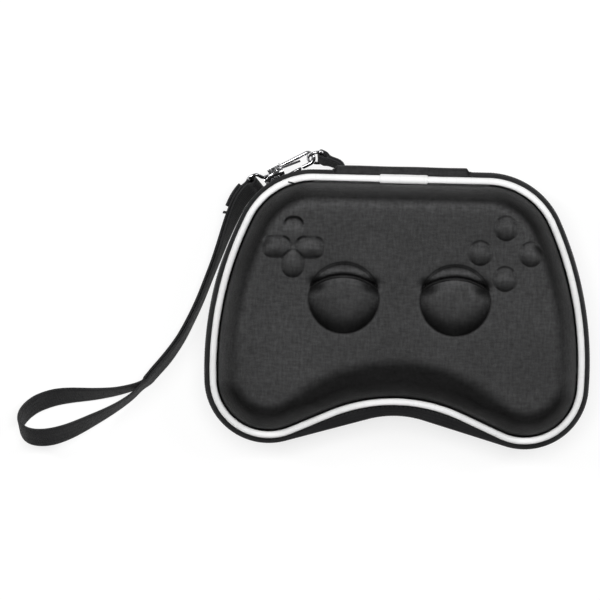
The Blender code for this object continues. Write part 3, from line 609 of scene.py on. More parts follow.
# Outline of the case: tangent arcs from the middle of the top edge round to the dip
caseShape = {"topY": 58.4 * mm, "topHalf": 39.9 * mm, "corner": (33.2 * mm, 65.0), "side": (157.5 * mm, 28.3),
             "lobe": (25.7 * mm, 110.45), "dip": 74.8 * mm, "faceLobe": 128.0, "faceDip": 62.0 * mm,
             "bandLobe": 103.0, "bandDip": 48.5 * mm}
levels = {"zip": 34.0 * mm, "bandHalf": 6.0 * mm, "gap": 0.3 * mm, "flange": 1.0 * mm, "flangeReach": 0.9 * mm,
          "inset": 2.45 * mm, "wall": 3.0 * mm, "lidDepth": 24.7 * mm}
levels["lidSeam"] = levels["zip"] + levels["bandHalf"] + levels["gap"] + levels["flange"]
levels["baseSeam"] = levels["zip"] - levels["bandHalf"] - levels["gap"] - levels["flange"]
fineSteps = (16, 52, 44, 66, 10, 30)  # points on the top, corner, side, lobe, flank and dip


# The right half of the outline, grown outwards
def halfOutline(grow, lobe=None, dip=None, steps=fineSteps, start=0.0):
    lobe = caseShape["lobe"][1] if lobe is None else lobe
    dip = caseShape["dip"] if dip is None else dip
    topHalf, topY = caseShape["topHalf"], caseShape["topY"]
    points = [Vector((start + (topHalf - start) * i / steps[0], topY + grow)) for i in range(steps[0])]
    place = Vector((topHalf, topY + grow))
    points.append(place.copy())
    angle = 90.0
    for radius, turn, count in ((*caseShape["corner"], steps[1]), (*caseShape["side"], steps[2]),
                                (caseShape["lobe"][0], lobe, steps[3])):
        centre = place - (radius + grow) * heading(angle).xy
        points += [centre + (radius + grow) * heading(angle - turn * i / count).xy for i in range(1, count + 1)]
        place = points[-1]
        angle -= turn
    slope = math.radians(-90.0 - angle)
    inner = dip - grow
    flank = Vector((inner * math.sin(slope), 0.0))
    flank.y = place.y + (place.x - flank.x) * math.tan(slope)
    points += [place.lerp(flank, i / steps[4]) for i in range(1, steps[4] + 1)]
    level = flank.y - inner * math.cos(slope)
    for i in range(1, steps[5] + 1):
        a = slope * (1 - i / steps[5])
        points.append(Vector((inner * math.sin(a), level + inner * math.cos(a))))
    return points


# The outline at a height; its share runs from the seam's outline, 0, to the face's own, 1
def wholeOutline(grow, share=0.0, z=0.0):
    rounds = []
    for lobe, dip in ((None, None), (caseShape["faceLobe"], caseShape["faceDip"])):
        half = halfOutline(grow, lobe, dip)
        rounds.append(half + [Vector((-p.x, p.y)) for p in reversed(half[1:-1])])
    return [Vector((*a.lerp(b, share), z)) for a, b in zip(*rounds)]


# The lid's wall, from the seam up: its inset in millimetres, share of the height, share of the face's outline
wallSteps = ((0.0, 0.00, 0.00), (0.0, 0.13, 0.00), (1.0, 0.38, 0.12), (3.0, 0.62, 0.34), (5.3, 0.81, 0.60),
             (8.0, 0.94, 0.84), (10.6, 0.99, 0.97), (13.2, 1.00, 1.00))

# The shapes pressed into the lid's face, in millimetres
sticks = {"places": ((-25.5, 3.2), (25.5, 3.2)), "radius": 16.0, "height": 5.2, "power": 3.2, "rim": 0.12,
          "apex": 9.9, "arc": 25.5, "deep": 1.5, "crest": 0.6, "groove": 1.9, "soften": 0.8,
          "pit": {"depth": 2.0, "aside": 12.6, "above": 6.0, "width": 3.4, "height": 2.6}}
sticks["drop"] = sticks["arc"] - sticks["apex"]
buttons = {"centre": (48.0, 25.1), "spread": 11.6, "radii": (5.3, 5.7), "height": 1.4, "step": 0.75, "power": 2.0}
cross = {"centre": (-49.2, 25.9), "spread": 7.6, "radii": (6.3, 4.9),
         "arms": ((1.3, 0.8, 3.4), (0.45, 1.0, 2.6), (1.3, 0.8, 3.4), (1.5, 0.3, 2.4))}  # height, step, power


# Each lobe's centre, half sizes, height, step and power
def pressedLobes():
    found = []
    for quarter in range(4):
        out = heading(90 * quarter).xy
        found.append((Vector(buttons["centre"]) + buttons["spread"] * out, buttons["radii"], buttons["height"],
                      buttons["step"], buttons["power"]))
        radii = cross["radii"] if quarter % 2 == 0 else cross["radii"][::-1]
        found.append((Vector(cross["centre"]) + cross["spread"] * out, radii, *cross["arms"][quarter]))
    return found


lobes = pressedLobes()


# A stick's dome with the ledge and the crease above it
def stickHeight(dx, dy):
    r, radius, soft, pit = math.hypot(dx, dy), sticks["radius"], sticks["soften"], sticks["pit"]
    if r > radius + 3.5:
        return 0.0
    rise = sticks["height"] * max(0.0, 1 - min(1.0, r / radius) ** sticks["power"]) ** 0.80
    ring = -sticks["rim"] * math.exp(-((r - radius - 0.35) / 1.2) ** 2)
    hollow = pit["depth"] * math.exp(-((abs(dx) - pit["aside"]) / pit["width"]) ** 2
                                     - ((dy - pit["above"]) / pit["height"]) ** 2)
    ring -= hollow
    above = math.hypot(dx, dy + sticks["drop"]) - sticks["arc"]
    share = max(0.0, above) / (max(0.0, above) + max(0.05, radius + 0.25 - r))
    ledge = sticks["crest"] - (sticks["crest"] + sticks["deep"]) * share ** 1.3
    ledge -= sticks["groove"] * math.exp(-(above / 1.2) ** 2)
    ledge -= hollow
    held = smoothStep(-soft, soft, above) * smoothStep(radius + 0.7, radius - 1.1, r)
    return rise * (1 - held) + ledge * held + ring * (1 - held)


# How far the moulded shapes lift or sink the lid's face
def pressedHeight(x, y):
    lift = sum(stickHeight(x - sx, y - sy) for sx, sy in sticks["places"])
    raised, sunk = 0.0, 0.0
    for centre, radii, height, step, power in lobes:
        dx, dy = (x - centre.x) / radii[0], (y - centre.y) / radii[1]
        if abs(dx) > 1.5 or abs(dy) > 1.5:
            continue
        share = (abs(dx) ** power + abs(dy) ** power) ** (1 / power)
        raised = max(raised, height * max(0.0, 1 - min(1.0, share) ** 2.3) ** 0.85)
        sunk = max(sunk, step * smoothStep(1.07, 0.86, share) * smoothStep(-0.15, 0.75, dy))
    return lift + raised - sunk


# The wall's inset, height and face share at any step, on a curve through wallSteps
def wallAt(t):
    i = min(int(t), len(wallSteps) - 2)
    a, b = Vector(wallSteps[max(i - 1, 1 if i > 0 else 0)]), Vector(wallSteps[i])
    c, d = Vector(wallSteps[i + 1]), Vector(wallSteps[min(i + 2, len(wallSteps) - 1)])
    return b.lerp(c, t - i) if i == 0 else curveAt(a, b, c, d, t - i)


# Outlines up the wall from one step to another
def skinRings(seam, depth, inset, first, last, step):
    rings = []
    t = first
    while t < last + 1e-6:
        wall = wallAt(t)
        rings.append(wholeOutline(-inset - wall[0] * mm, wall[2], seam + depth * wall[1]))
        t += step
    return rings


# A function that gives the skin's height over any point inside its outline; sign is -1 for the base
def heightOver(rings, flat, sign):
    count = len(rings[0])
    faces = [(i * count + k, i * count + (k + 1) % count, (i + 1) * count + (k + 1) % count, (i + 1) * count + k)
             for i in range(len(rings) - 1) for k in range(count)]
    tree = BVHTree.FromPolygons([Vector((p.x, p.y, sign * p.z)) for ring in rings for p in ring], faces)

    def level(x, y):
        hit = tree.ray_cast(Vector((x, y, 1.0)), Vector((0, 0, -1)))[0]
        return sign * hit.z if hit else flat
    return level


# A search tree over plan points
def nearestOf(points):
    tree = KDTree(len(points))
    for i, point in enumerate(points):
        tree.insert((*point, 0), i)
    tree.balance()
    return tree


# Where the face's mesh is dense: along each stick's crease, round its rim and round the lobes, in millimetres
faceMesh = {"creaseHalf": 13.2, "creaseSteps": 24,
            "creaseOffsets": (-1.1, -0.7, -0.4, -0.15, 0.1, 0.35, 0.65, 1.0, 1.5),
            "rimRadii": (14.9, 15.35, 15.7, 15.95, 16.2, 16.5, 16.9, 17.5, 18.4), "rimPoints": 150,
            "lobeShares": (0.80, 0.88, 0.94, 0.98, 1.02, 1.06, 1.11, 1.18), "lobePoints": 64,
            "closest": 0.22, "room": 0.62}


def shapePoints():
    placed, steps = [], faceMesh["creaseSteps"]
    for sx, sy in sticks["places"]:
        for k in range(-steps, steps + 1):
            a = math.asin(faceMesh["creaseHalf"] / sticks["arc"]) * k / steps
            for off in faceMesh["creaseOffsets"]:
                reach = sticks["arc"] + off
                x, y = reach * math.sin(a), reach * math.cos(a) - sticks["drop"]
                if math.hypot(x, y) < sticks["radius"] - 0.8:
                    placed.append(((sx + x) * mm, (sy + y) * mm))
        for r in faceMesh["rimRadii"]:
            placed += [((sx + r * c) * mm, (sy + r * s) * mm)
                       for c, s in circle(faceMesh["rimPoints"], 0.5 * (int(r * 10) % 2))]
    for centre, radii, _, _, power in lobes:
        for share in faceMesh["lobeShares"]:
            for c, s in circle(faceMesh["lobePoints"]):
                reach = share / (abs(c) ** power + abs(s) ** power) ** (1 / power)
                placed.append(((centre.x + radii[0] * reach * c) * mm, (centre.y + radii[1] * reach * s) * mm))
    return placed


# Plan points for the skin: its rings, the pressed shapes' own points without near doubles, and an even fill
def facePoints(rings, pitch, detailed):
    points = [(p.x, p.y) for ring in rings for p in ring]
    every = points + (shapePoints() if detailed else [])
    near = nearestOf(every)
    closest, dropped = faceMesh["closest"] * mm, set()
    for i in range(len(points), len(every)):
        if any(j != i and j not in dropped for _, j, _ in near.find_range((*every[i], 0), closest)):
            dropped.add(i)
    kept = [p for i, p in enumerate(every) if i not in dropped]
    near = nearestOf(kept)
    xs, ys = [p.x for p in rings[0]], [p.y for p in rings[0]]
    extra = []
    row, y = 0, min(ys)
    while y < max(ys):
        x = min(xs) + (0.5 * pitch if row % 2 else 0.0)
        while x < max(xs):
            if near.find((x, y, 0))[2] > pitch * faceMesh["room"] and insideRing(x, y, rings[0]):
                extra.append((x, y))
            x += pitch
        y += pitch * 0.866
        row += 1
    return kept + extra


# Whether a plan point is within a closed outline
def insideRing(x, y, ring):
    found = False
    for i in range(len(ring)):
        a, b = ring[i - 1], ring[i]
        if (a.y > y) != (b.y > y) and x < (b.x - a.x) * (y - a.y) / (b.y - a.y) + a.x:
            found = not found
    return found


skinSteps = {"wall": 0.34, "shoulder": 0.25, "inside": 0.5}  # of the way from one of wallSteps to the next


# The outer skin of a half: one fine triangulated face, and rings down the wall to the seam
def mouldedSkin(name, seam, depth, detailed, pitch):
    wall = skinRings(seam, depth, levels["inset"], 0.0, 1.0, skinSteps["wall"])
    shoulder = skinRings(seam, depth, levels["inset"], 1.0, 7.0, skinSteps["shoulder"])
    level = heightOver(shoulder, seam + depth, math.copysign(1.0, depth))
    plan = facePoints(shoulder, pitch, detailed)
    count = len(shoulder[0])
    border = [(k, (k + 1) % count) for k in range(count)]
    flat, _, triangles, _, _, _ = geometry.delaunay_2d_cdt([Vector(p) for p in plan], border,
                                                            [list(range(count))], 1, 1e-7)
    mesh = bmesh.new()
    verts = []
    for i, p in enumerate(flat):
        z = shoulder[0][i].z if i < count else level(p.x, p.y)
        if detailed:
            z += pressedHeight(p.x / mm, p.y / mm) * mm
        verts.append(mesh.verts.new((p.x, p.y, z)))
    for triangle in triangles:
        mesh.faces.new([verts[k] for k in triangle])
    rows = [verts[:count]] + [[mesh.verts.new(p) for p in ring] for ring in reversed(wall[:-1])]
    bridge(mesh, rows)
    print(name, len(mesh.faces), "faces")
    return mesh, rows[-1]


# Outer skin, sewing flange and inner skin in one closed mesh; the inside takes the lining
def mouldedHalf(name, seam, depth, paint, detailed, pitch):
    sign = math.copysign(1.0, depth)
    mesh, rim = mouldedSkin(name, seam, depth, detailed, pitch)
    flange, reach, rounding = seam - sign * levels["flange"], levels["flangeReach"], 0.1 * mm
    turned = ((reach - rounding, seam), (reach, seam - sign * rounding), (reach, flange + sign * rounding),
              (reach - rounding, flange))
    inner = skinRings(seam, depth - sign * levels["wall"], levels["inset"] + levels["wall"], 0.0, 7.0,
                      skinSteps["inside"])
    rings = [wholeOutline(grow, 0.0, z) for grow, z in turned]
    rings += [[(p.x, p.y, flange) for p in inner[0]]] + inner[1:]
    rows = [rim] + [[mesh.verts.new(p) for p in ring] for ring in rings]
    lined = bridge(mesh, rows)[(len(turned) + 1) * len(rim):]
    end = mesh.faces.new(rows[-1])
    made = bmesh.ops.triangulate(mesh, faces=[end], quad_method="BEAUTY", ngon_method="BEAUTY")
    for face in lined + made["faces"]:
        face.material_index = 1
    half = makePiece(name, mesh, paint, 60.0)
    half.data.materials.append(liningCloth)
    return half


lidSkin = mouldedHalf("lid_skin", levels["lidSeam"], levels["lidDepth"], lidCloth, True, 1.15 * mm)
placePiece(lidSkin, "lid", "lid_laminate", "lid_shell")
baseSkin = mouldedHalf("base_skin", levels["baseSeam"], -levels["baseSeam"], backCloth, False, 3.0 * mm)
placePiece(baseSkin, "base", "base_laminate", "base_shell")
print("moulded halves built")

# Piping and the sleeve over its joint
piping = {"radius": 1.55 * mm, "baseRadius": 1.2 * mm, "sides": 18, "baseSides": 10, "squareness": 2.8,
          "ripple": 0.035, "baseRipple": 0.04, "sleeveLength": 22 * mm, "sleeveWall": 0.3 * mm,
          "sleeveSides": 28, "sleeveShift": 0.9 * mm, "sleeveInside": 0.05 * mm}
pipingLevel = levels["lidSeam"] + levels["gap"] + piping["radius"]
basePipingLevel = levels["baseSeam"] - levels["gap"] - piping["baseRadius"]


# A covered cord sewn round the case, pressed a little square and slightly uneven
def roundTheCase(name, z, radius, sides, paint, ripple):
    outer = wholeOutline(0.0, 0.0, z)
    power = piping["squareness"]
    rings = []
    for i, centre in enumerate(outer):
        side = courseAt(outer, i, True).cross(up).normalized()
        swell = radius * (1 + ripple * noise.noise(centre * 260.0))
        rings.append([centre + swell * (abs(c) ** power + abs(s) ** power) ** (-1 / power) * (c * side + s * up)
                      for c, s in circle(sides, 0.5)])
    return loftRings(name, rings, paint, closed=True, corner=70.0)


placePiece(roundTheCase("lid_piping_cord", pipingLevel, piping["radius"], piping["sides"], whiteCover,
                        piping["ripple"]), "lid", "white_piping", "lid_piping")
placePiece(roundTheCase("base_piping_cord", basePipingLevel, piping["baseRadius"], piping["baseSides"], blackCover,
                        piping["baseRipple"]), "base", "black_piping", "base_piping")


# The white sleeve that hides where the piping's ends meet: a thin tube, pressed a little flat below
def jointSleeve():
    outer = piping["radius"] + levels["gap"] + piping["sleeveWall"]
    inner = piping["radius"] + 0.06 * mm
    half = piping["sleeveLength"] / 2
    profile = ((-half, inner), (-half + 0.05 * mm, outer - 0.22 * mm), (-half + 0.4 * mm, outer - 0.04 * mm),
               (-half + 1.2 * mm, outer), (-half * 0.4, outer - 0.05 * mm), (0.0, outer),
               (half * 0.5, outer - 0.04 * mm), (half - 1.2 * mm, outer), (half - 0.4 * mm, outer - 0.04 * mm),
               (half - 0.05 * mm, outer - 0.22 * mm), (half, inner))
    floor = -piping["radius"] - 0.02 * mm
    rings = [[Vector((piping["sleeveShift"] + x, caseShape["topY"] + radius * c, pipingLevel + max(radius * s, floor)))
              for c, s in circle(piping["sleeveSides"])] for x, radius in profile]
    made = loftRings("piping_joint_sleeve", rings, sleeveCover, capped=False)
    skin = made.modifiers.new("thickness", "SOLIDIFY")
    skin.thickness = piping["sleeveInside"]
    skin.offset = -1
    return made


placePiece(jointSleeve(), "lid", "white_sleeve", "piping_sleeve")

# Binding tape over the raw edges inside
binding = {"width": 1.6 * mm, "height": 3.4 * mm, "sides": 12}


def bindingRound(name, z):
    inset = -levels["inset"] - levels["wall"] - levels["gap"] - binding["width"] / 2
    outlines = []
    for c, s in circle(binding["sides"]):
        reach = (abs(c) ** 4 + abs(s) ** 4) ** -0.25
        outlines.append(wholeOutline(inset + c * reach * binding["width"] / 2, 0.0,
                                     z + s * reach * binding["height"] / 2))
    return loftRings(name, [list(points) for points in zip(*outlines)], bindingCloth, closed=True, corner=60.0)


placePiece(bindingRound("lid_binding_tape", levels["lidSeam"] - levels["flange"] + binding["height"] / 2),
           "lid", "lid_binding", "lid_seam_binding")
placePiece(bindingRound("base_binding_tape", levels["baseSeam"] + levels["flange"] - binding["height"] / 2),
           "base", "base_binding", "base_seam_binding")
print("piping and bindings built")


# Zip: two woven tapes and two rows of coil teeth round the case, open at the hinge gusset
zipper = {"reach": 3.5 * mm, "thickness": 1.1 * mm, "turnIn": 3.4 * mm, "teethGap": 0.2 * mm, "openGap": 1.2 * mm,
          "teethHeight": 1.1 * mm, "proud": 0.15 * mm, "toothProud": (0.34 * mm, 0.8 * mm),
          "teethDepth": 1.5 * mm, "pitch": 1.45 * mm, "hook": 0.45 * mm, "core": (0.55 * mm, 0.25 * mm),
          "sliderAngle": 28.0, "sliderLength": 7.6 * mm, "closing": 6.0, "tapeStations": 420}
gussetShape = {"reach": 5.9 * mm, "thickness": 1.2 * mm, "half": 31.0 * mm, "lap": 0.9 * mm, "stations": 72,
               "wave": 0.05 * mm, "waveLength": 4.2 * mm, "pinch": 0.10 * mm}
bandSteps = (24, 60, 90, 90, 40, 40)
teethLine = (caseShape["bandLobe"], caseShape["bandDip"])
cornerCentre = Vector((-caseShape["topHalf"], caseShape["topY"] - caseShape["corner"][0], 0))


# The band's open path from one end of the gusset round to the other
def bandPath(grow, lobe=None, dip=None):
    half = halfOutline(grow, lobe, dip, bandSteps, gussetShape["half"] + levels["gap"])
    return half + [Vector((-p.x, p.y)) for p in reversed(half[:-1])]


# Evenly spaced points along a path
def evenly(path, count):
    lengths = distances(path)
    even, k = [], 0
    for i in range(count + 1):
        target = lengths[-1] * i / count
        while k < len(path) - 2 and lengths[k + 1] < target:
            k += 1
        share = (target - lengths[k]) / (lengths[k + 1] - lengths[k])
        even.append(path[k].lerp(path[k + 1], min(1.0, max(0.0, share))))
    return even


# How far round the slider's corner a point is, in degrees from the top edge; 180 is anywhere past it
def cornerAngle(point):
    if point.x > 0 or point.y < 0:
        return 180.0
    local = point - cornerCentre.xy
    return math.degrees(math.atan2(-local.x, local.y))


# How far each row of teeth stands from the zip's middle: closed past the slider, open before it
def zipGap(angle):
    reach = caseShape["corner"][0] + zipper["reach"]
    meshed = zipper["sliderAngle"] + math.degrees(zipper["sliderLength"] / 2 / reach) + zipper["closing"]
    share = min(1.0, max(0.0, (meshed - angle) / (zipper["closing"] - 1.5)))
    return zipper["teethGap"] + (zipper["openGap"] - zipper["teethGap"]) * share


# A tape from the seam's flange in to the teeth, with a rolled inner edge
def zipTape(name, side):
    flange, thick, turnIn, half = levels["flangeReach"], zipper["thickness"], zipper["turnIn"], levels["bandHalf"]
    lines = [evenly(bandPath(grow, *line), zipper["tapeStations"])
             for grow, line in ((flange, ()), (zipper["reach"], teethLine), (flange - thick, ()),
                                (zipper["reach"] - thick, teethLine))]
    rings = []
    for a, b, c, d in zip(*lines):
        edge = zipGap(cornerAngle(b)) + zipper["teethHeight"] + levels["gap"] * 0.6
        section = ((a, half), (a.lerp(b, 0.55), half * 0.42 + turnIn * 0.58), (a.lerp(b, 0.9), turnIn + 0.25 * mm),
                   (b, turnIn - 0.3 * mm), (b, edge + 0.25 * mm), (b.lerp(d, 0.2), edge + 0.05 * mm),
                   (b.lerp(d, 0.5), edge), (d, edge + 0.15 * mm), (d, turnIn),
                   (c.lerp(d, 0.55), half * 0.45 + turnIn * 0.55), (c, half))
        rings.append([Vector((*place, levels["zip"] + side * height)) for place, height in section])
    return loftRings(name, rings, zipTapeCloth, corner=45.0)


# A turn's share of the way from foot to tip, its half width and its half depth, in millimetres
toothSections = ((0.0, 0.30, 0.72), (0.35, 0.36, 0.75), (0.70, 0.42, 0.70), (0.90, 0.40, 0.58), (1.0, 0.22, 0.38))


# One row of the coil: a core, and every turn a small loop that wraps it and hooks its neighbours
def zipTeeth(name, side, shift):
    near, far = [zipper["reach"] + proud for proud in zipper["toothProud"]]
    count = int(distances(bandPath(near, *teethLine))[-1] / zipper["pitch"])
    faces = []
    for back in (0.0, zipper["teethDepth"]):
        close, wide = [evenly(bandPath(reach - back, *teethLine), 2 * count) for reach in (near, far)]
        faces.append([a.lerp(b, smoothStep(80.0, 110.0, cornerAngle(a))) for a, b in zip(close, wide)])
    core = [(outer.lerp(inner, 0.5), (outer - inner).normalized(), zipGap(cornerAngle(outer)))
            for outer, inner in zip(*faces)]
    places = [middle for middle, _, _ in core]
    mesh = bmesh.new()
    wide, high = zipper["core"]
    rings = []
    for middle, out, gap in core:
        z = levels["zip"] + side * (gap + zipper["teethHeight"] - high)
        rings.append([(*(middle + out * (wide * c)), z + high * s) for c, s in circle(8)])
    addTube(mesh, rings)
    for i in range(1 + shift, 2 * count, 2):
        middle, out, gap = core[i]
        along = courseAt(places, i)
        reach = zipper["teethHeight"] + (zipper["hook"] if gap < zipper["teethGap"] * 1.01 else 0.0)
        tip = levels["zip"] + side * (gap + zipper["teethHeight"] - reach)
        foot = levels["zip"] + side * (gap + zipper["teethHeight"])
        addTube(mesh, [[(*(middle + along * (wide * mm * c) + out * (deep * mm * s)), foot + (tip - foot) * share)
                        for c, s in circle(8, 0.5)] for share, wide, deep in toothSections])
    print(name, count, "turns")
    return makePiece(name, mesh, coil, 55.0)


placePiece(zipTape("lid_tape_cloth", 1), "lid", "lid_tape", "lid_zip_tape")
placePiece(zipTape("base_tape_cloth", -1), "base", "base_tape", "base_zip_tape")
placePiece(zipTeeth("lid_coil_teeth", 1, 0), "lid", "lid_teeth", "lid_zip_teeth")
placePiece(zipTeeth("base_coil_teeth", -1, 1), "base", "base_teeth", "base_zip_teeth")
print("zip built")

# Height and stand-out of the tape's outer face, in millimetres, with room for the gusset's hem
tapeFace = ((0.0, 3.75), (3.1, 3.72), (3.65, 3.42), (4.49, 2.52), (6.0, 1.02))
hemEnds = (2.4, 1.9, 1.5, 1.2, 0.9, 0.6, 0.3, 0.0)


def overTape(level):
    level = abs(level) / mm
    for (a, low), (b, high) in zip(tapeFace, tapeFace[1:]):
        if level <= b:
            return (low + (high - low) * (level - a) / (b - a)) * mm
    return tapeFace[-1][1] * mm


# Hinge gusset: cloth that bows out between the seams
def hingeCloth():
    topY, zipLevel, half = caseShape["topY"], levels["zip"], levels["bandHalf"]
    reach, thick = gussetShape["reach"], gussetShape["thickness"]
    edge = levels["flangeReach"] + thick * 0.5
    upper = [(0, edge, half + 1.2 * mm), (0, edge, half + 0.1 * mm), (0, reach * 0.80, 4.4 * mm),
             (0, reach * 0.97, 2.4 * mm)]
    profile = smoothPath(upper + [(0, reach, 0.0)] + [(x, y, -z) for x, y, z in reversed(upper)], 5)
    count, rings = gussetShape["stations"], []
    full = gussetShape["half"] + gussetShape["lap"]
    stations = [(2 * i / count - 1) * (full - 3 * mm) for i in range(count + 1)]
    ends = [full - s * mm for s in hemEnds]
    for x in [-e for e in reversed(ends)] + stations + ends:
        end = min(1.0, (full - abs(x)) / (1.6 * mm))
        hem = smoothStep(2.2 * mm, 0.7 * mm, full - abs(x))
        outer, inner = [], []
        for k, p in enumerate(profile):
            before, after = profile[max(k - 1, 0)], profile[min(k + 1, len(profile) - 1)]
            normal = Vector((0, -(after - before).z, (after - before).y)).normalized()
            wave = gussetShape["wave"] * math.sin(x / gussetShape["waveLength"])
            wave *= math.sin(math.pi * k / (len(profile) - 1))
            wave -= gussetShape["pinch"] * (1 - end)
            standOut = p.y + (overTape(p.z) + thick * 0.5 - p.y) * hem
            outer.append(Vector((x, topY + standOut, zipLevel + p.z)) + normal * wave)
            inner.append(outer[-1] - normal * thick * 0.5)
        rings.append(outer + inner[::-1])
    made = loftRings("hinge_cloth", rings, gussetCloth, corner=60.0)
    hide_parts("hinge_gusset")
    distances(profile)[-1]
    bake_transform(made)


hingeCloth()
print("gusset built")


# Slider and pull on the left corner; a lug is given as its width, height and inset
sliderShape = {"half": 3.3 * mm, "plate": 1.0 * mm, "post": 0.8 * mm, "flare": 1.5 * mm, "pinOffset": 2.4 * mm,
               "pin": 0.55 * mm, "lug": (1.8 * mm, 0.9 * mm, 0.75 * mm)}
pullShape = {"length": 13.0 * mm, "height": 4.6 * mm, "thickness": 1.1 * mm, "lean": -6.0, "neck": 3.2 * mm,
             "hole": 1.3 * mm, "holeInset": 3.0 * mm, "wall": 0.6 * mm, "panelMargin": (2.9 * mm, 0.8 * mm),
             "panelShift": 1.9 * mm}


# A point on the slider's arc, in degrees from the top edge
def cornerPoint(angle, grow, z):
    a = math.radians(90 + angle)
    radius = caseShape["corner"][0] + grow
    return cornerCentre + Vector((radius * math.cos(a), radius * math.sin(a), z))


# A turned bar with softened ends
def roundRod(name, start, end, radius, paint, sides=32, bevel=0.12 * mm):
    axis = (end - start).normalized()
    across = axis.orthogonal().normalized()
    other = axis.cross(across)
    bevel = min(bevel, radius * 0.5)
    turned = ((start, radius - bevel), (start + axis * bevel, radius), (end - axis * bevel, radius),
              (end, radius - bevel))
    rings = [[centre + share * (c * across + s * other) for c, s in circle(sides)] for centre, share in turned]
    return loftRings(name, rings, paint, corner=40.0)


# A box with rounded edges
def softBox(name, centre, axes, halves, paint, bevel=0.2 * mm):
    mesh = bmesh.new()
    bmesh.ops.create_cube(mesh, size=2.0)
    for vert in mesh.verts:
        vert.co = centre + sum((axes[i] * halves[i] * vert.co[i] for i in range(3)), Vector())
    bmesh.ops.bevel(mesh, geom=list(mesh.edges), offset=bevel, segments=3, profile=0.6, affect="EDGES")
    made = makePiece(name, mesh, paint, 40.0)
    if axes[0].cross(axes[1]).dot(axes[2]) < 0:
        made.data.flip_normals()
    return made


# Puts what the modifiers make in the place of the piece's own mesh
def applyModifiers(target):
    bpy.context.view_layer.update()
    data = bpy.data.meshes.new_from_object(target.evaluated_get(bpy.context.evaluated_depsgraph_get()))
    target.modifiers.clear()
    target.data = data


# Applies Booleans to closed pieces and removes the helpers
def combine(target, others, operation="UNION"):
    for other in others:
        cut = target.modifiers.new("join", "BOOLEAN")
        cut.operation = operation
        cut.solver = "MANIFOLD"
        cut.object = other
    applyModifiers(target)
    for other in others:
        bpy.data.objects.remove(other)
    return target


# Rounds the sharp edges of a closed piece
def softenEdges(target, width):
    edge = target.modifiers.new("soften", "BEVEL")
    edge.width = width
    edge.segments = 2
    edge.limit_method = "ANGLE"
    edge.angle_limit = math.radians(35)
    applyModifiers(target)
    target.data.shade_smooth()
    target.data.set_sharp_from_angle(angle=math.radians(50))
    return target


# Two plates joined by a post, swept round the corner's arc, with lugs and a pin for the pull
def zipSlider():
    back = zipper["reach"] + zipper["proud"] - zipper["teethDepth"] - levels["gap"]
    front = zipper["reach"] + zipper["proud"] + levels["gap"]
    plate, post, flare = sliderShape["plate"], sliderShape["post"], sliderShape["flare"]
    sweep = math.degrees(zipper["sliderLength"] / (caseShape["corner"][0] + zipper["reach"]))
    rings, count = [], 18
    for i in range(count + 1):
        share = 2 * i / count - 1
        half = sliderShape["half"] * (1 - 0.22 * share ** 2)
        section = ((back - plate, -half), (back, -half), (back, -post), (front, -post), (front, -half),
                   (front + plate, -half), (front + plate * 1.3, 0.0), (front + plate + flare, half),
                   (front + flare, half), (front, post), (back, post), (back, half), (back - plate, half))
        angle = zipper["sliderAngle"] + sweep * share / 2
        rings.append([cornerPoint(angle, grow, levels["zip"] + lift) for grow, lift in section])
    made = loftRings("zip_slider_body", rings, sliderMetal, corner=40.0)
    pinGrow = front + plate + sliderShape["pinOffset"]
    width, height, inset = sliderShape["lug"]
    helpers = []
    for end in (-1, 1):
        level = levels["zip"] + end * (pullShape["height"] / 2 - inset)
        lugOut = cornerPoint(zipper["sliderAngle"], pinGrow, level)
        lugIn = cornerPoint(zipper["sliderAngle"], front + plate / 2, level)
        axis = (lugOut - lugIn).normalized()
        across = axis.cross(up)
        helpers.append(softBox("lug", (lugOut + lugIn) / 2 + axis * sliderShape["pin"] * 0.7, (axis, across, up),
                               ((lugOut - lugIn).length / 2 + sliderShape["pin"], width / 2, height / 2),
                               sliderMetal, 0.22 * mm))
    reach = pullShape["height"] / 2 - 0.5 * mm
    pivot = cornerPoint(zipper["sliderAngle"], pinGrow, levels["zip"])
    helpers.append(roundRod("sliderPin", pivot - up * reach, pivot + up * reach, sliderShape["pin"], sliderMetal, 24))
    return softenEdges(combine(made, helpers), 0.12 * mm), pivot


slider, pullPivot = zipSlider()
placePiece(slider, "slider", "slider_metal", "zip_slider")


# A flat tab with a rolled eye, a raised border and a cord hole
def zipPull():
    along = heading(zipper["sliderAngle"] + pullShape["lean"])
    across = up.cross(along)
    _, height, inset = sliderShape["lug"]
    eye = sliderShape["pin"] + levels["gap"] + pullShape["wall"]
    eyeHalf = pullShape["height"] / 2 - inset - height / 2 - levels["gap"]
    made = roundRod("zip_pull_tab", pullPivot - eyeHalf * up, pullPivot + eyeHalf * up, eye, pullMetal, 32)
    axes = (along, across, up)
    length = pullShape["length"] - pullShape["neck"]
    thick = pullShape["thickness"]
    middle = pullPivot + along * (pullShape["neck"] + length / 2)
    helpers = [softBox("neck", pullPivot + along * 2.2 * mm, axes, (1.6 * mm, thick / 2, eyeHalf * 0.9), pullMetal),
               softBox("tab", middle, axes, (length / 2, thick / 2, pullShape["height"] / 2), pullMetal, 0.42 * mm)]
    made = combine(made, helpers)
    hole = pullPivot + along * (pullShape["length"] - pullShape["holeInset"])
    cuts = [roundRod("bore", pullPivot - up * 4 * mm, pullPivot + up * 4 * mm, sliderShape["pin"] + levels["gap"],
                     pullMetal, 24),
            roundRod("cordHole", hole - across * 2 * mm, hole + across * 2 * mm, pullShape["hole"], pullMetal, 32)]
    panelHalves = (length / 2 - pullShape["panelMargin"][0], 0.24 * mm,
                   pullShape["height"] / 2 - pullShape["panelMargin"][1])
    for face in (-1, 1):
        panel = middle - along * pullShape["panelShift"] + across * face * (thick / 2 + 0.1 * mm)
        cuts.append(softBox("panel", panel, axes, panelHalves, pullMetal, 0.1 * mm))
    return softenEdges(combine(made, cuts, "DIFFERENCE"), 0.08 * mm)


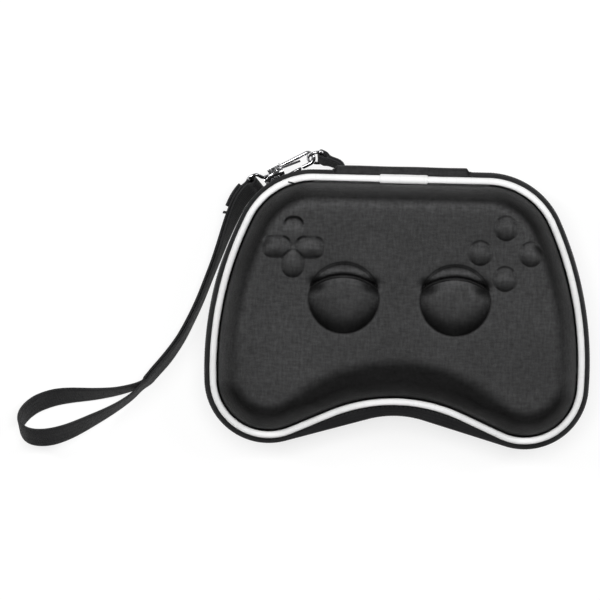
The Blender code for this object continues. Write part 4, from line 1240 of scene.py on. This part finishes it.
placePiece(zipPull(), "pull", "pull_metal", "zip_pull")
print("slider and pull built")


# Ring, hook, gate and swivel eye: round wire, a cast block and a riveted gate
hardware = {"pivot": Vector((-43.4 * mm, 67.3 * mm, 22.0 * mm)), "hookHeading": 208.5, "slope": 10.0,
            "ringHeading": 186.0, "ringLean": 60.0, "ringWire": 0.8 * mm, "ringReach": 6.5 * mm, "ringHalf": 4.9 * mm,
            "ringShoulder": 1.1 * mm, "hookWire": 1.0 * mm, "hookHalf": 2.6 * mm, "spine": 14.6 * mm,
            "tip": 4.4 * mm, "gateWire": 0.85 * mm, "block": (14.2 * mm, 18.6 * mm), "blockHalf": 1.9 * mm,
            "rivet": 0.6 * mm, "rivetInset": 1.2 * mm, "stud": 1.0 * mm, "collar": (2.3 * mm, 3.0 * mm),
            "eyeWire": 0.85 * mm, "eyeLean": 52.0, "eyeDistance": 28.0 * mm, "eyeRoom": 1.1 * mm,
            "eyeSlack": 0.75 * mm}
strapShape = {"width": 10.5 * mm, "thickness": 1.3 * mm, "layerGap": 0.3 * mm, "foldGap": 0.45 * mm,
              "tab": (7.0 * mm, 1.0 * mm, 9.6 * mm, 4.9 * mm)}
ringOut = heading(hardware["ringHeading"])
lean = math.radians(hardware["ringLean"])
ringAcross = math.cos(lean) * up.cross(-ringOut) + math.sin(lean) * up
ringNormal = ringOut.cross(ringAcross)
ringBar = hardware["pivot"] - hardware["ringReach"] * ringOut
slope = math.radians(hardware["slope"])
hookU = math.cos(slope) * heading(hardware["hookHeading"]) - math.sin(slope) * up
hookV = heading(hardware["hookHeading"] - 90)
hookN = hookV.cross(hookU)


# A point in the hook's own frame: along it, across it and out of its plane
def at(u, v, z=0.0):
    return hardware["pivot"] + u * hookU + v * hookV + z * hookN


# A round wire along a path; above is a direction out of the path's plane, and open ends are domed
def wire(name, path, radius, paint, above, closed=False, sides=20):
    rings, domes = [], {} if closed else {0: (1, (0.1, 0.6, 1.1)), len(path) - 1: (-1, (1.1, 0.6, 0.1))}
    for i, centre in enumerate(path):
        along = courseAt(path, i, closed)
        side = along.cross(above).normalized()
        top = side.cross(along)
        places = [(centre, 1.0)]
        if i in domes:
            way, bends = domes[i]
            places = [(centre + way * along * radius * (1 - math.cos(b)) * 0.6, max(0.05, math.sin(b)))
                      for b in bends]
        rings += [[place + radius * share * (c * side + s * top) for c, s in circle(sides)]
                  for place, share in places]
    return loftRings(name, rings, paint, closed=closed, corner=60.0)


# The D ring: a straight bar in the tab, and half an ellipse out from it
def ringWire():
    half, reach = hardware["ringHalf"], hardware["ringReach"]
    shoulder = hardware["ringShoulder"]
    path = [ringBar + side * half * 0.86 * ringAcross for side in (-1, -0.5, 0, 0.5, 1)]
    for i in range(41):
        a = math.pi * i / 40
        path.append(ringBar + half * math.cos(a) * ringAcross
                    + (shoulder + (reach - shoulder) * math.sin(a)) * ringOut)
    return wire("d_ring_wire", path, hardware["ringWire"], ringMetal, ringNormal, closed=True)


# From the hook's tip round its bend and down the spine into the block
def hookPath():
    half = hardware["hookHalf"]
    path = [at(hardware["tip"], -half), at(hardware["tip"] / 2, -half)]
    for i in range(25):
        a = math.radians(-90 - 180 * i / 24)
        path.append(at(half * math.cos(a), half * math.sin(a)))
    return path + [at(hardware["spine"] * 0.5, half), at(hardware["spine"], half),
                   at(hardware["block"][0] + 2.4 * mm, half * 0.5)]


rivetAt = hardware["block"][0] + hardware["rivetInset"]
eyeLean = math.radians(hardware["eyeLean"])
eyeAcross = math.cos(eyeLean) * hookV + math.sin(eyeLean) * hookN
eyeHalfWidth = strapShape["width"] / 2 + hardware["eyeRoom"] + hardware["eyeWire"]


# A rod along the hook, one through the gate's rivet, and a box in line with the hook
def axisRod(name, first, last, radius, paint, sides=28, bevel=0.12 * mm):
    return roundRod(name, at(first, 0), at(last, 0), radius, paint, sides, bevel)


def rivetRod(name, low, high, radius, paint, sides=24, bevel=0.12 * mm):
    aside = -hardware["hookHalf"]
    return roundRod(name, at(rivetAt, aside, low), at(rivetAt, aside, high), radius, paint, sides, bevel)


def hookBox(name, place, halves, paint, bevel):
    return softBox(name, place, (hookU, hookV, hookN), halves, paint, bevel)


# The cast body: wire, block, stud and head, with a slot for the gate and a waist on each face
def hookBody():
    half, first, last = hardware["hookHalf"], *hardware["block"]
    gap, middle, thick = levels["gap"], (first + last) / 2, hardware["blockHalf"]
    studEnd = last + gap + hardware["collar"][1] + gap
    made = combine(wire("hook_casting", hookPath(), hardware["hookWire"], hookMetal, hookN), [
        hookBox("block", at(middle, -0.2 * mm), ((last - first) / 2, half + 0.9 * mm, thick), hookMetal, 0.75 * mm),
        axisRod("stud", last - 1 * mm, studEnd + 0.3 * mm, hardware["stud"], hookMetal),
        axisRod("head", studEnd, studEnd + 0.7 * mm, hardware["stud"] + 0.6 * mm, hookMetal, bevel=0.2 * mm)])
    cuts = [hookBox("slot", at(first, -half), (3.4 * mm, 1.9 * mm, hardware["gateWire"] + gap), hookMetal, 0.1 * mm),
            rivetRod("bore", -4 * mm, 4 * mm, hardware["rivet"] + gap * 0.5, hookMetal)]
    cuts += [hookBox("waist", at(middle + 0.9 * mm, 0.5 * mm, face * (thick + 0.1 * mm)),
                     (1.0 * mm, 1.6 * mm, 0.3 * mm), hookMetal, 0.12 * mm) for face in (-1, 1)]
    return softenEdges(combine(made, cuts, "DIFFERENCE"), 0.08 * mm)


def gateBar():
    half, thin, tip, gap = hardware["hookHalf"], hardware["gateWire"], hardware["tip"], levels["gap"]
    path = [at(u, -half) for u in (tip + gap, tip + 2 * mm, rivetAt)]
    made = combine(wire("hook_gate_bar", path, thin, gateMetal, hookN, sides=22), [
        rivetRod("eye", -thin, thin, hardware["rivet"] + gap + 0.5 * mm, gateMetal, 28),
        hookBox("thumb", at(tip + 3.1 * mm, -half - thin * 0.9), (0.9 * mm, 0.35 * mm, 0.6 * mm), gateMetal,
                0.2 * mm)])
    bore = rivetRod("bore", -3 * mm, 3 * mm, hardware["rivet"] + gap * 0.5, gateMetal)
    return softenEdges(combine(made, [bore], "DIFFERENCE"), 0.06 * mm)


def rivetPin():
    top = hardware["blockHalf"] + levels["gap"]
    made = rivetRod("gate_rivet_pin", -top - 0.2 * mm, top + 0.2 * mm, hardware["rivet"], rivetMetal, 26)
    return combine(made, [rivetRod("head", end * (top - 0.25 * mm), end * (top + 0.4 * mm),
                                   hardware["rivet"] + 0.6 * mm, rivetMetal, 28, 0.22 * mm) for end in (-1, 1)])


# The swivel: a beaded collar on the hook's stud, with the wire eye that holds the strap
def swivelEye():
    start = hardware["block"][1] + levels["gap"]
    radius, length = hardware["collar"]
    wall = (radius + hardware["stud"] + levels["gap"]) / 2
    corners = ((start + 0.8 * mm, wall + 0.2 * mm), (start + length + 0.6 * mm, wall + 1.0 * mm),
               (start + length + 2.2 * mm, eyeHalfWidth * 0.93), (hardware["eyeDistance"] - 0.8 * mm, eyeHalfWidth),
               (hardware["eyeDistance"], eyeHalfWidth - 0.8 * mm))
    fine = smoothPath([at(u, 0) + aside * eyeAcross for u, aside in corners], 6)
    other = [p - 2 * (p - hardware["pivot"]).dot(eyeAcross) * eyeAcross for p in reversed(fine)]
    made = axisRod("swivel_eye_loop", start, start + length, radius, eyeMetal, 36, 0.35 * mm)
    loop = wire("loop", fine + other, hardware["eyeWire"], eyeMetal, hookU.cross(eyeAcross), sides=18)
    beads = [axisRod("bead", start + s * mm, start + (s + 0.25) * mm, radius + 0.14 * mm, eyeMetal, 36, 0.08 * mm)
             for s in (0.5, 2.25)]
    made = combine(made, [loop] + beads)
    bore = axisRod("bore", start - 1 * mm, start + length + 2 * mm, hardware["stud"] + levels["gap"] * 0.5, eyeMetal)
    return softenEdges(combine(made, [bore], "DIFFERENCE"), 0.06 * mm)


placePiece(ringWire(), "base", "ring_metal", "d_ring")
placePiece(hookBody(), "hook", "hook_metal", "hook_body")
placePiece(gateBar(), "gate", "gate_metal", "hook_gate")
placePiece(rivetPin(), "hook", "rivet_metal", "gate_rivet")
placePiece(swivelEye(), "strap", "eye_metal", "swivel_eye")
print("hook and ring built")


# Webbing: ribbons with rounded selvedges, built from stations of (place, width direction)
def webbing(name, stations, width, thickness, paint, closed=False):
    steps = 10
    profile = [(-1 + 2 * k / steps, 1) for k in range(steps + 1)] + [(1.012, 0.3), (1.012, -0.3)]
    profile += [(1 - 2 * k / steps, -1) for k in range(steps + 1)] + [(-1.012, -0.3), (-1.012, 0.3)]
    places = [place for place, _ in stations]
    rings = []
    for i, (place, across) in enumerate(stations):
        along = courseAt(places, i, closed)
        wide = (across - across.dot(along) * along).normalized() * width / 2
        thick = along.cross(wide).normalized() * thickness / 2
        ring = []
        for u, v in profile:
            rounding = 1.0 if abs(u) < 0.75 else 1 - 0.35 * min(1.0, (abs(u) - 0.75) / 0.25) ** 2
            ring.append(place + wide * u * 0.988 + thick * v * rounding * 0.96)
        rings.append(ring)
    breadths = [width * k / steps for k in range(steps + 1)] + [width] * 2
    breadths += [width * (1 - k / steps) for k in range(steps + 1)] + [0.0] * 3
    lengths = distances(places + places[:1])
    return loftRings(name, rings, paint, closed, lengths=lengths, breadths=breadths), lengths[-1 if closed else -2]


# Finer stations on a smooth curve through the given ones
def densify(stations, steps):
    places, sides = [smoothPath(points, steps) for points in zip(*stations)]
    return [(place, side.normalized()) for place, side in zip(places, sides)]


# The doubled strap from the swivel eye down to where it opens: x, y, z and the lean of its width
strapRoute = ((-71.2, 51.3, 16.7, 36), (-74.6, 46.7, 15.9, 31), (-78.2, 38.5, 14.5, 24), (-81.6, 29.0, 13.1, 16),
              (-84.9, 19.4, 11.7, 11), (-88.4, 9.9, 10.3, 9), (-91.9, 0.5, 9.0, 9), (-96.0, -8.8, 7.8, 10),
              (-100.8, -18.2, 6.9, 13), (-106.6, -26.8, 6.2, 17), (-111.2, -32.4, 6.1, 17), (-115.3, -37.4, 6.0, 15))
loopRoute = ((-120.4, -40.2, 6.0, 15), (-129.9, -42.9, 5.9, 20), (-140.4, -44.4, 5.6, 30), (-150.5, -45.2, 5.1, 40),
             (-158.8, -46.6, 4.8, 46), (-166.8, -49.8, 6.2, 48), (-172.2, -54.6, 11.0, 48), (-173.8, -59.6, 16.3, 48),
             (-170.9, -63.4, 19.9, 48), (-165.6, -64.9, 21.5, 48), (-158.2, -64.2, 21.3, 47),
             (-149.8, -61.3, 18.3, 40), (-140.1, -56.4, 12.6, 30), (-130.2, -50.7, 8.6, 20), (-122.0, -44.6, 6.8, 15))
loopHeading = 192.0


def leaning(out, angle):
    return math.sin(math.radians(angle)) * out + math.cos(math.radians(angle)) * up


# The outer layer, the hand loop, the inner layer and the wrap round the eye, with the fold beside them
def strapStations():
    eyeMiddle = at(hardware["eyeDistance"], 0)
    thick = strapShape["thickness"]
    wrap = hardware["eyeWire"] + hardware["eyeSlack"] + thick / 2
    apart = (thick + strapShape["layerGap"]) / 2
    middle = [Vector(p) for p in smoothPath([(*(eyeMiddle / mm), 90 - hardware["eyeLean"]), *strapRoute], 2)]
    tail = tuple(middle[-1])
    loop = [Vector(p) for p in smoothPath([tail, *loopRoute, tail], 2)]
    course = [point.xyz for point in middle]
    outer, inner, fold = [], [], []
    for i, point in enumerate(middle):
        place = point.xyz * mm
        along = courseAt(course, i)
        flatAlong = Vector((along.x, along.y, 0)).normalized()
        out = Vector((flatAlong.y, -flatAlong.x, 0))
        across = leaning(out, point.w) if i > 0 else eyeAcross
        across = (across - across.dot(along) * along).normalized()
        normal = across.cross(along)
        if normal.dot(out) < 0:
            normal = -normal
        distance = apart if i > 0 else wrap
        outer.append((place + distance * normal, across))
        inner.append((place - distance * normal, across))
        fold.append((place + (distance + thick + strapShape["foldGap"]) * normal, across))
    normal = (outer[0][0] - inner[0][0]).normalized()
    along = (course[1] - course[0]).normalized()
    wrapped = []
    for i in range(1, 12):
        a = math.pi * i / 12
        wrapped.append((eyeMiddle - wrap * (math.cos(a) * normal + math.sin(a) * along), eyeAcross))
    side = heading(loopHeading - 90)
    hand = [(point.xyz * mm, leaning(side, point.w)) for point in loop[1:-1]]
    return outer, hand, inner, wrapped, fold


outerLayer, handLoop, innerLayer, eyeWrap, foldLayer = strapStations()
strapMesh, strapLength = webbing("wrist_strap_webbing", densify(outerLayer + handLoop + innerLayer[::-1], 4) + eyeWrap,
                                 strapShape["width"], strapShape["thickness"], strapTape, closed=True)
placePiece(strapMesh, "strap", "strap_webbing", "wrist_strap")
foldMesh, foldLength = webbing("strap_fold_webbing", densify(foldLayer[:8], 4)[8:-8], strapShape["width"],
                               strapShape["thickness"], foldTape)
placePiece(foldMesh, "strap", "fold_webbing", "strap_fold")

sewing = {"turns": 26, "reach": 0.86, "half": 0.55, "thread": 0.13, "sunk": 0.02, "back": 1.8,
          "endAside": 2.5, "endThread": 0.09, "endWays": ((-0.8, -0.1, 0.3), (-1.4, 0.6, 0.6), (-1.7, 1.6, 0.5))}


# A dense zigzag of thread across the fold, where the strap's layers are sewn together
def barTack(name):
    place, across = foldLayer[6]
    along = courseAt([station[0] for station in foldLayer], 6)
    outward = across.cross(along).normalized()
    outward = outward if outward.dot(place - outerLayer[6][0]) > 0 else -outward
    middle = place + outward * (strapShape["thickness"] / 2 - sewing["sunk"] * mm) - along * sewing["back"] * mm
    width, turns, thread = strapShape["width"] * sewing["reach"], sewing["turns"] * 2, sewing["thread"]
    normal = across.cross(along).normalized()
    rings = []
    for i in range(turns + 1):
        p = middle + across * width * (i / turns - 0.5) + along * sewing["half"] * mm * (1 if i % 2 else -1)
        rings.append([p + along * thread * mm * c + normal * thread * mm * s for c, s in circle(6)])
    mesh = bmesh.new()
    addTube(mesh, rings)
    return makePiece(name, mesh, threadPaint, 60.0)


# The cut end of a sewing thread standing out beside the fold
def looseThread(name):
    place, across = foldLayer[6]
    start = place - across * sewing["endAside"] * mm
    points = smoothPath([start] + [start + Vector(way) * mm for way in sewing["endWays"]], 6)
    return wire(name, points, sewing["endThread"] * mm, threadPaint, up, sides=8)


placePiece(barTack("strap_bar_tack"), "strap", "fold_webbing")
placePiece(looseThread("strap_thread_end"), "strap", "fold_webbing")


# The tab that holds the ring: out from the seam, round the ring's bar and back
def ringTab(name):
    width, thick, length, root = strapShape["tab"]
    wrap = hardware["ringWire"] + levels["gap"] + thick / 2
    apart = (thick + strapShape["layerGap"]) / 2
    back, bend = heading(-24.0), heading(-62.0)
    rootAt = ringBar + back * length
    side = ringAcross.cross(back).normalized()
    branches = [[rootAt + bend * root + sign * apart * ringAcross.cross(bend).normalized(),
                 rootAt + sign * apart * side, ringBar + back * length * 0.45 + sign * apart * side,
                 ringBar + back * 1.6 * mm + sign * wrap * 0.96 * side] for sign in (1, -1)]
    turn = [ringBar + wrap * (math.cos(a) * side - math.sin(a) * back) for a in (math.pi * i / 6 for i in range(1, 6))]
    stations = [(p, ringAcross) for p in branches[0] + turn + branches[1][::-1]]
    return webbing(name, densify(stations, 4), width, thick, tabTape)[0]


placePiece(ringTab("ring_tab_webbing"), "base", "tab_webbing", "ring_tab")
print("strap built,", round(strapLength * 1000), "mm of webbing")


# Spreads the nodes of a tree in columns, each one to the left of what it feeds
def spreadNodes(tree):
    column = {node.name: 0 for node in tree.nodes}
    moved = True
    while moved:
        moved = False
        for link in tree.links:
            if column[link.from_node.name] <= column[link.to_node.name]:
                column[link.from_node.name] = column[link.to_node.name] + 1
                moved = True
    filled = {}
    for node in tree.nodes:
        place = column[node.name]
        node.location = (-220 * place, -260 * filled.get(place, 0))
        filled[place] = filled.get(place, 0) + 1


for tree in [paint.node_tree for paint in bpy.data.materials if paint.use_nodes] + list(bpy.data.node_groups):
    spreadNodes(tree)
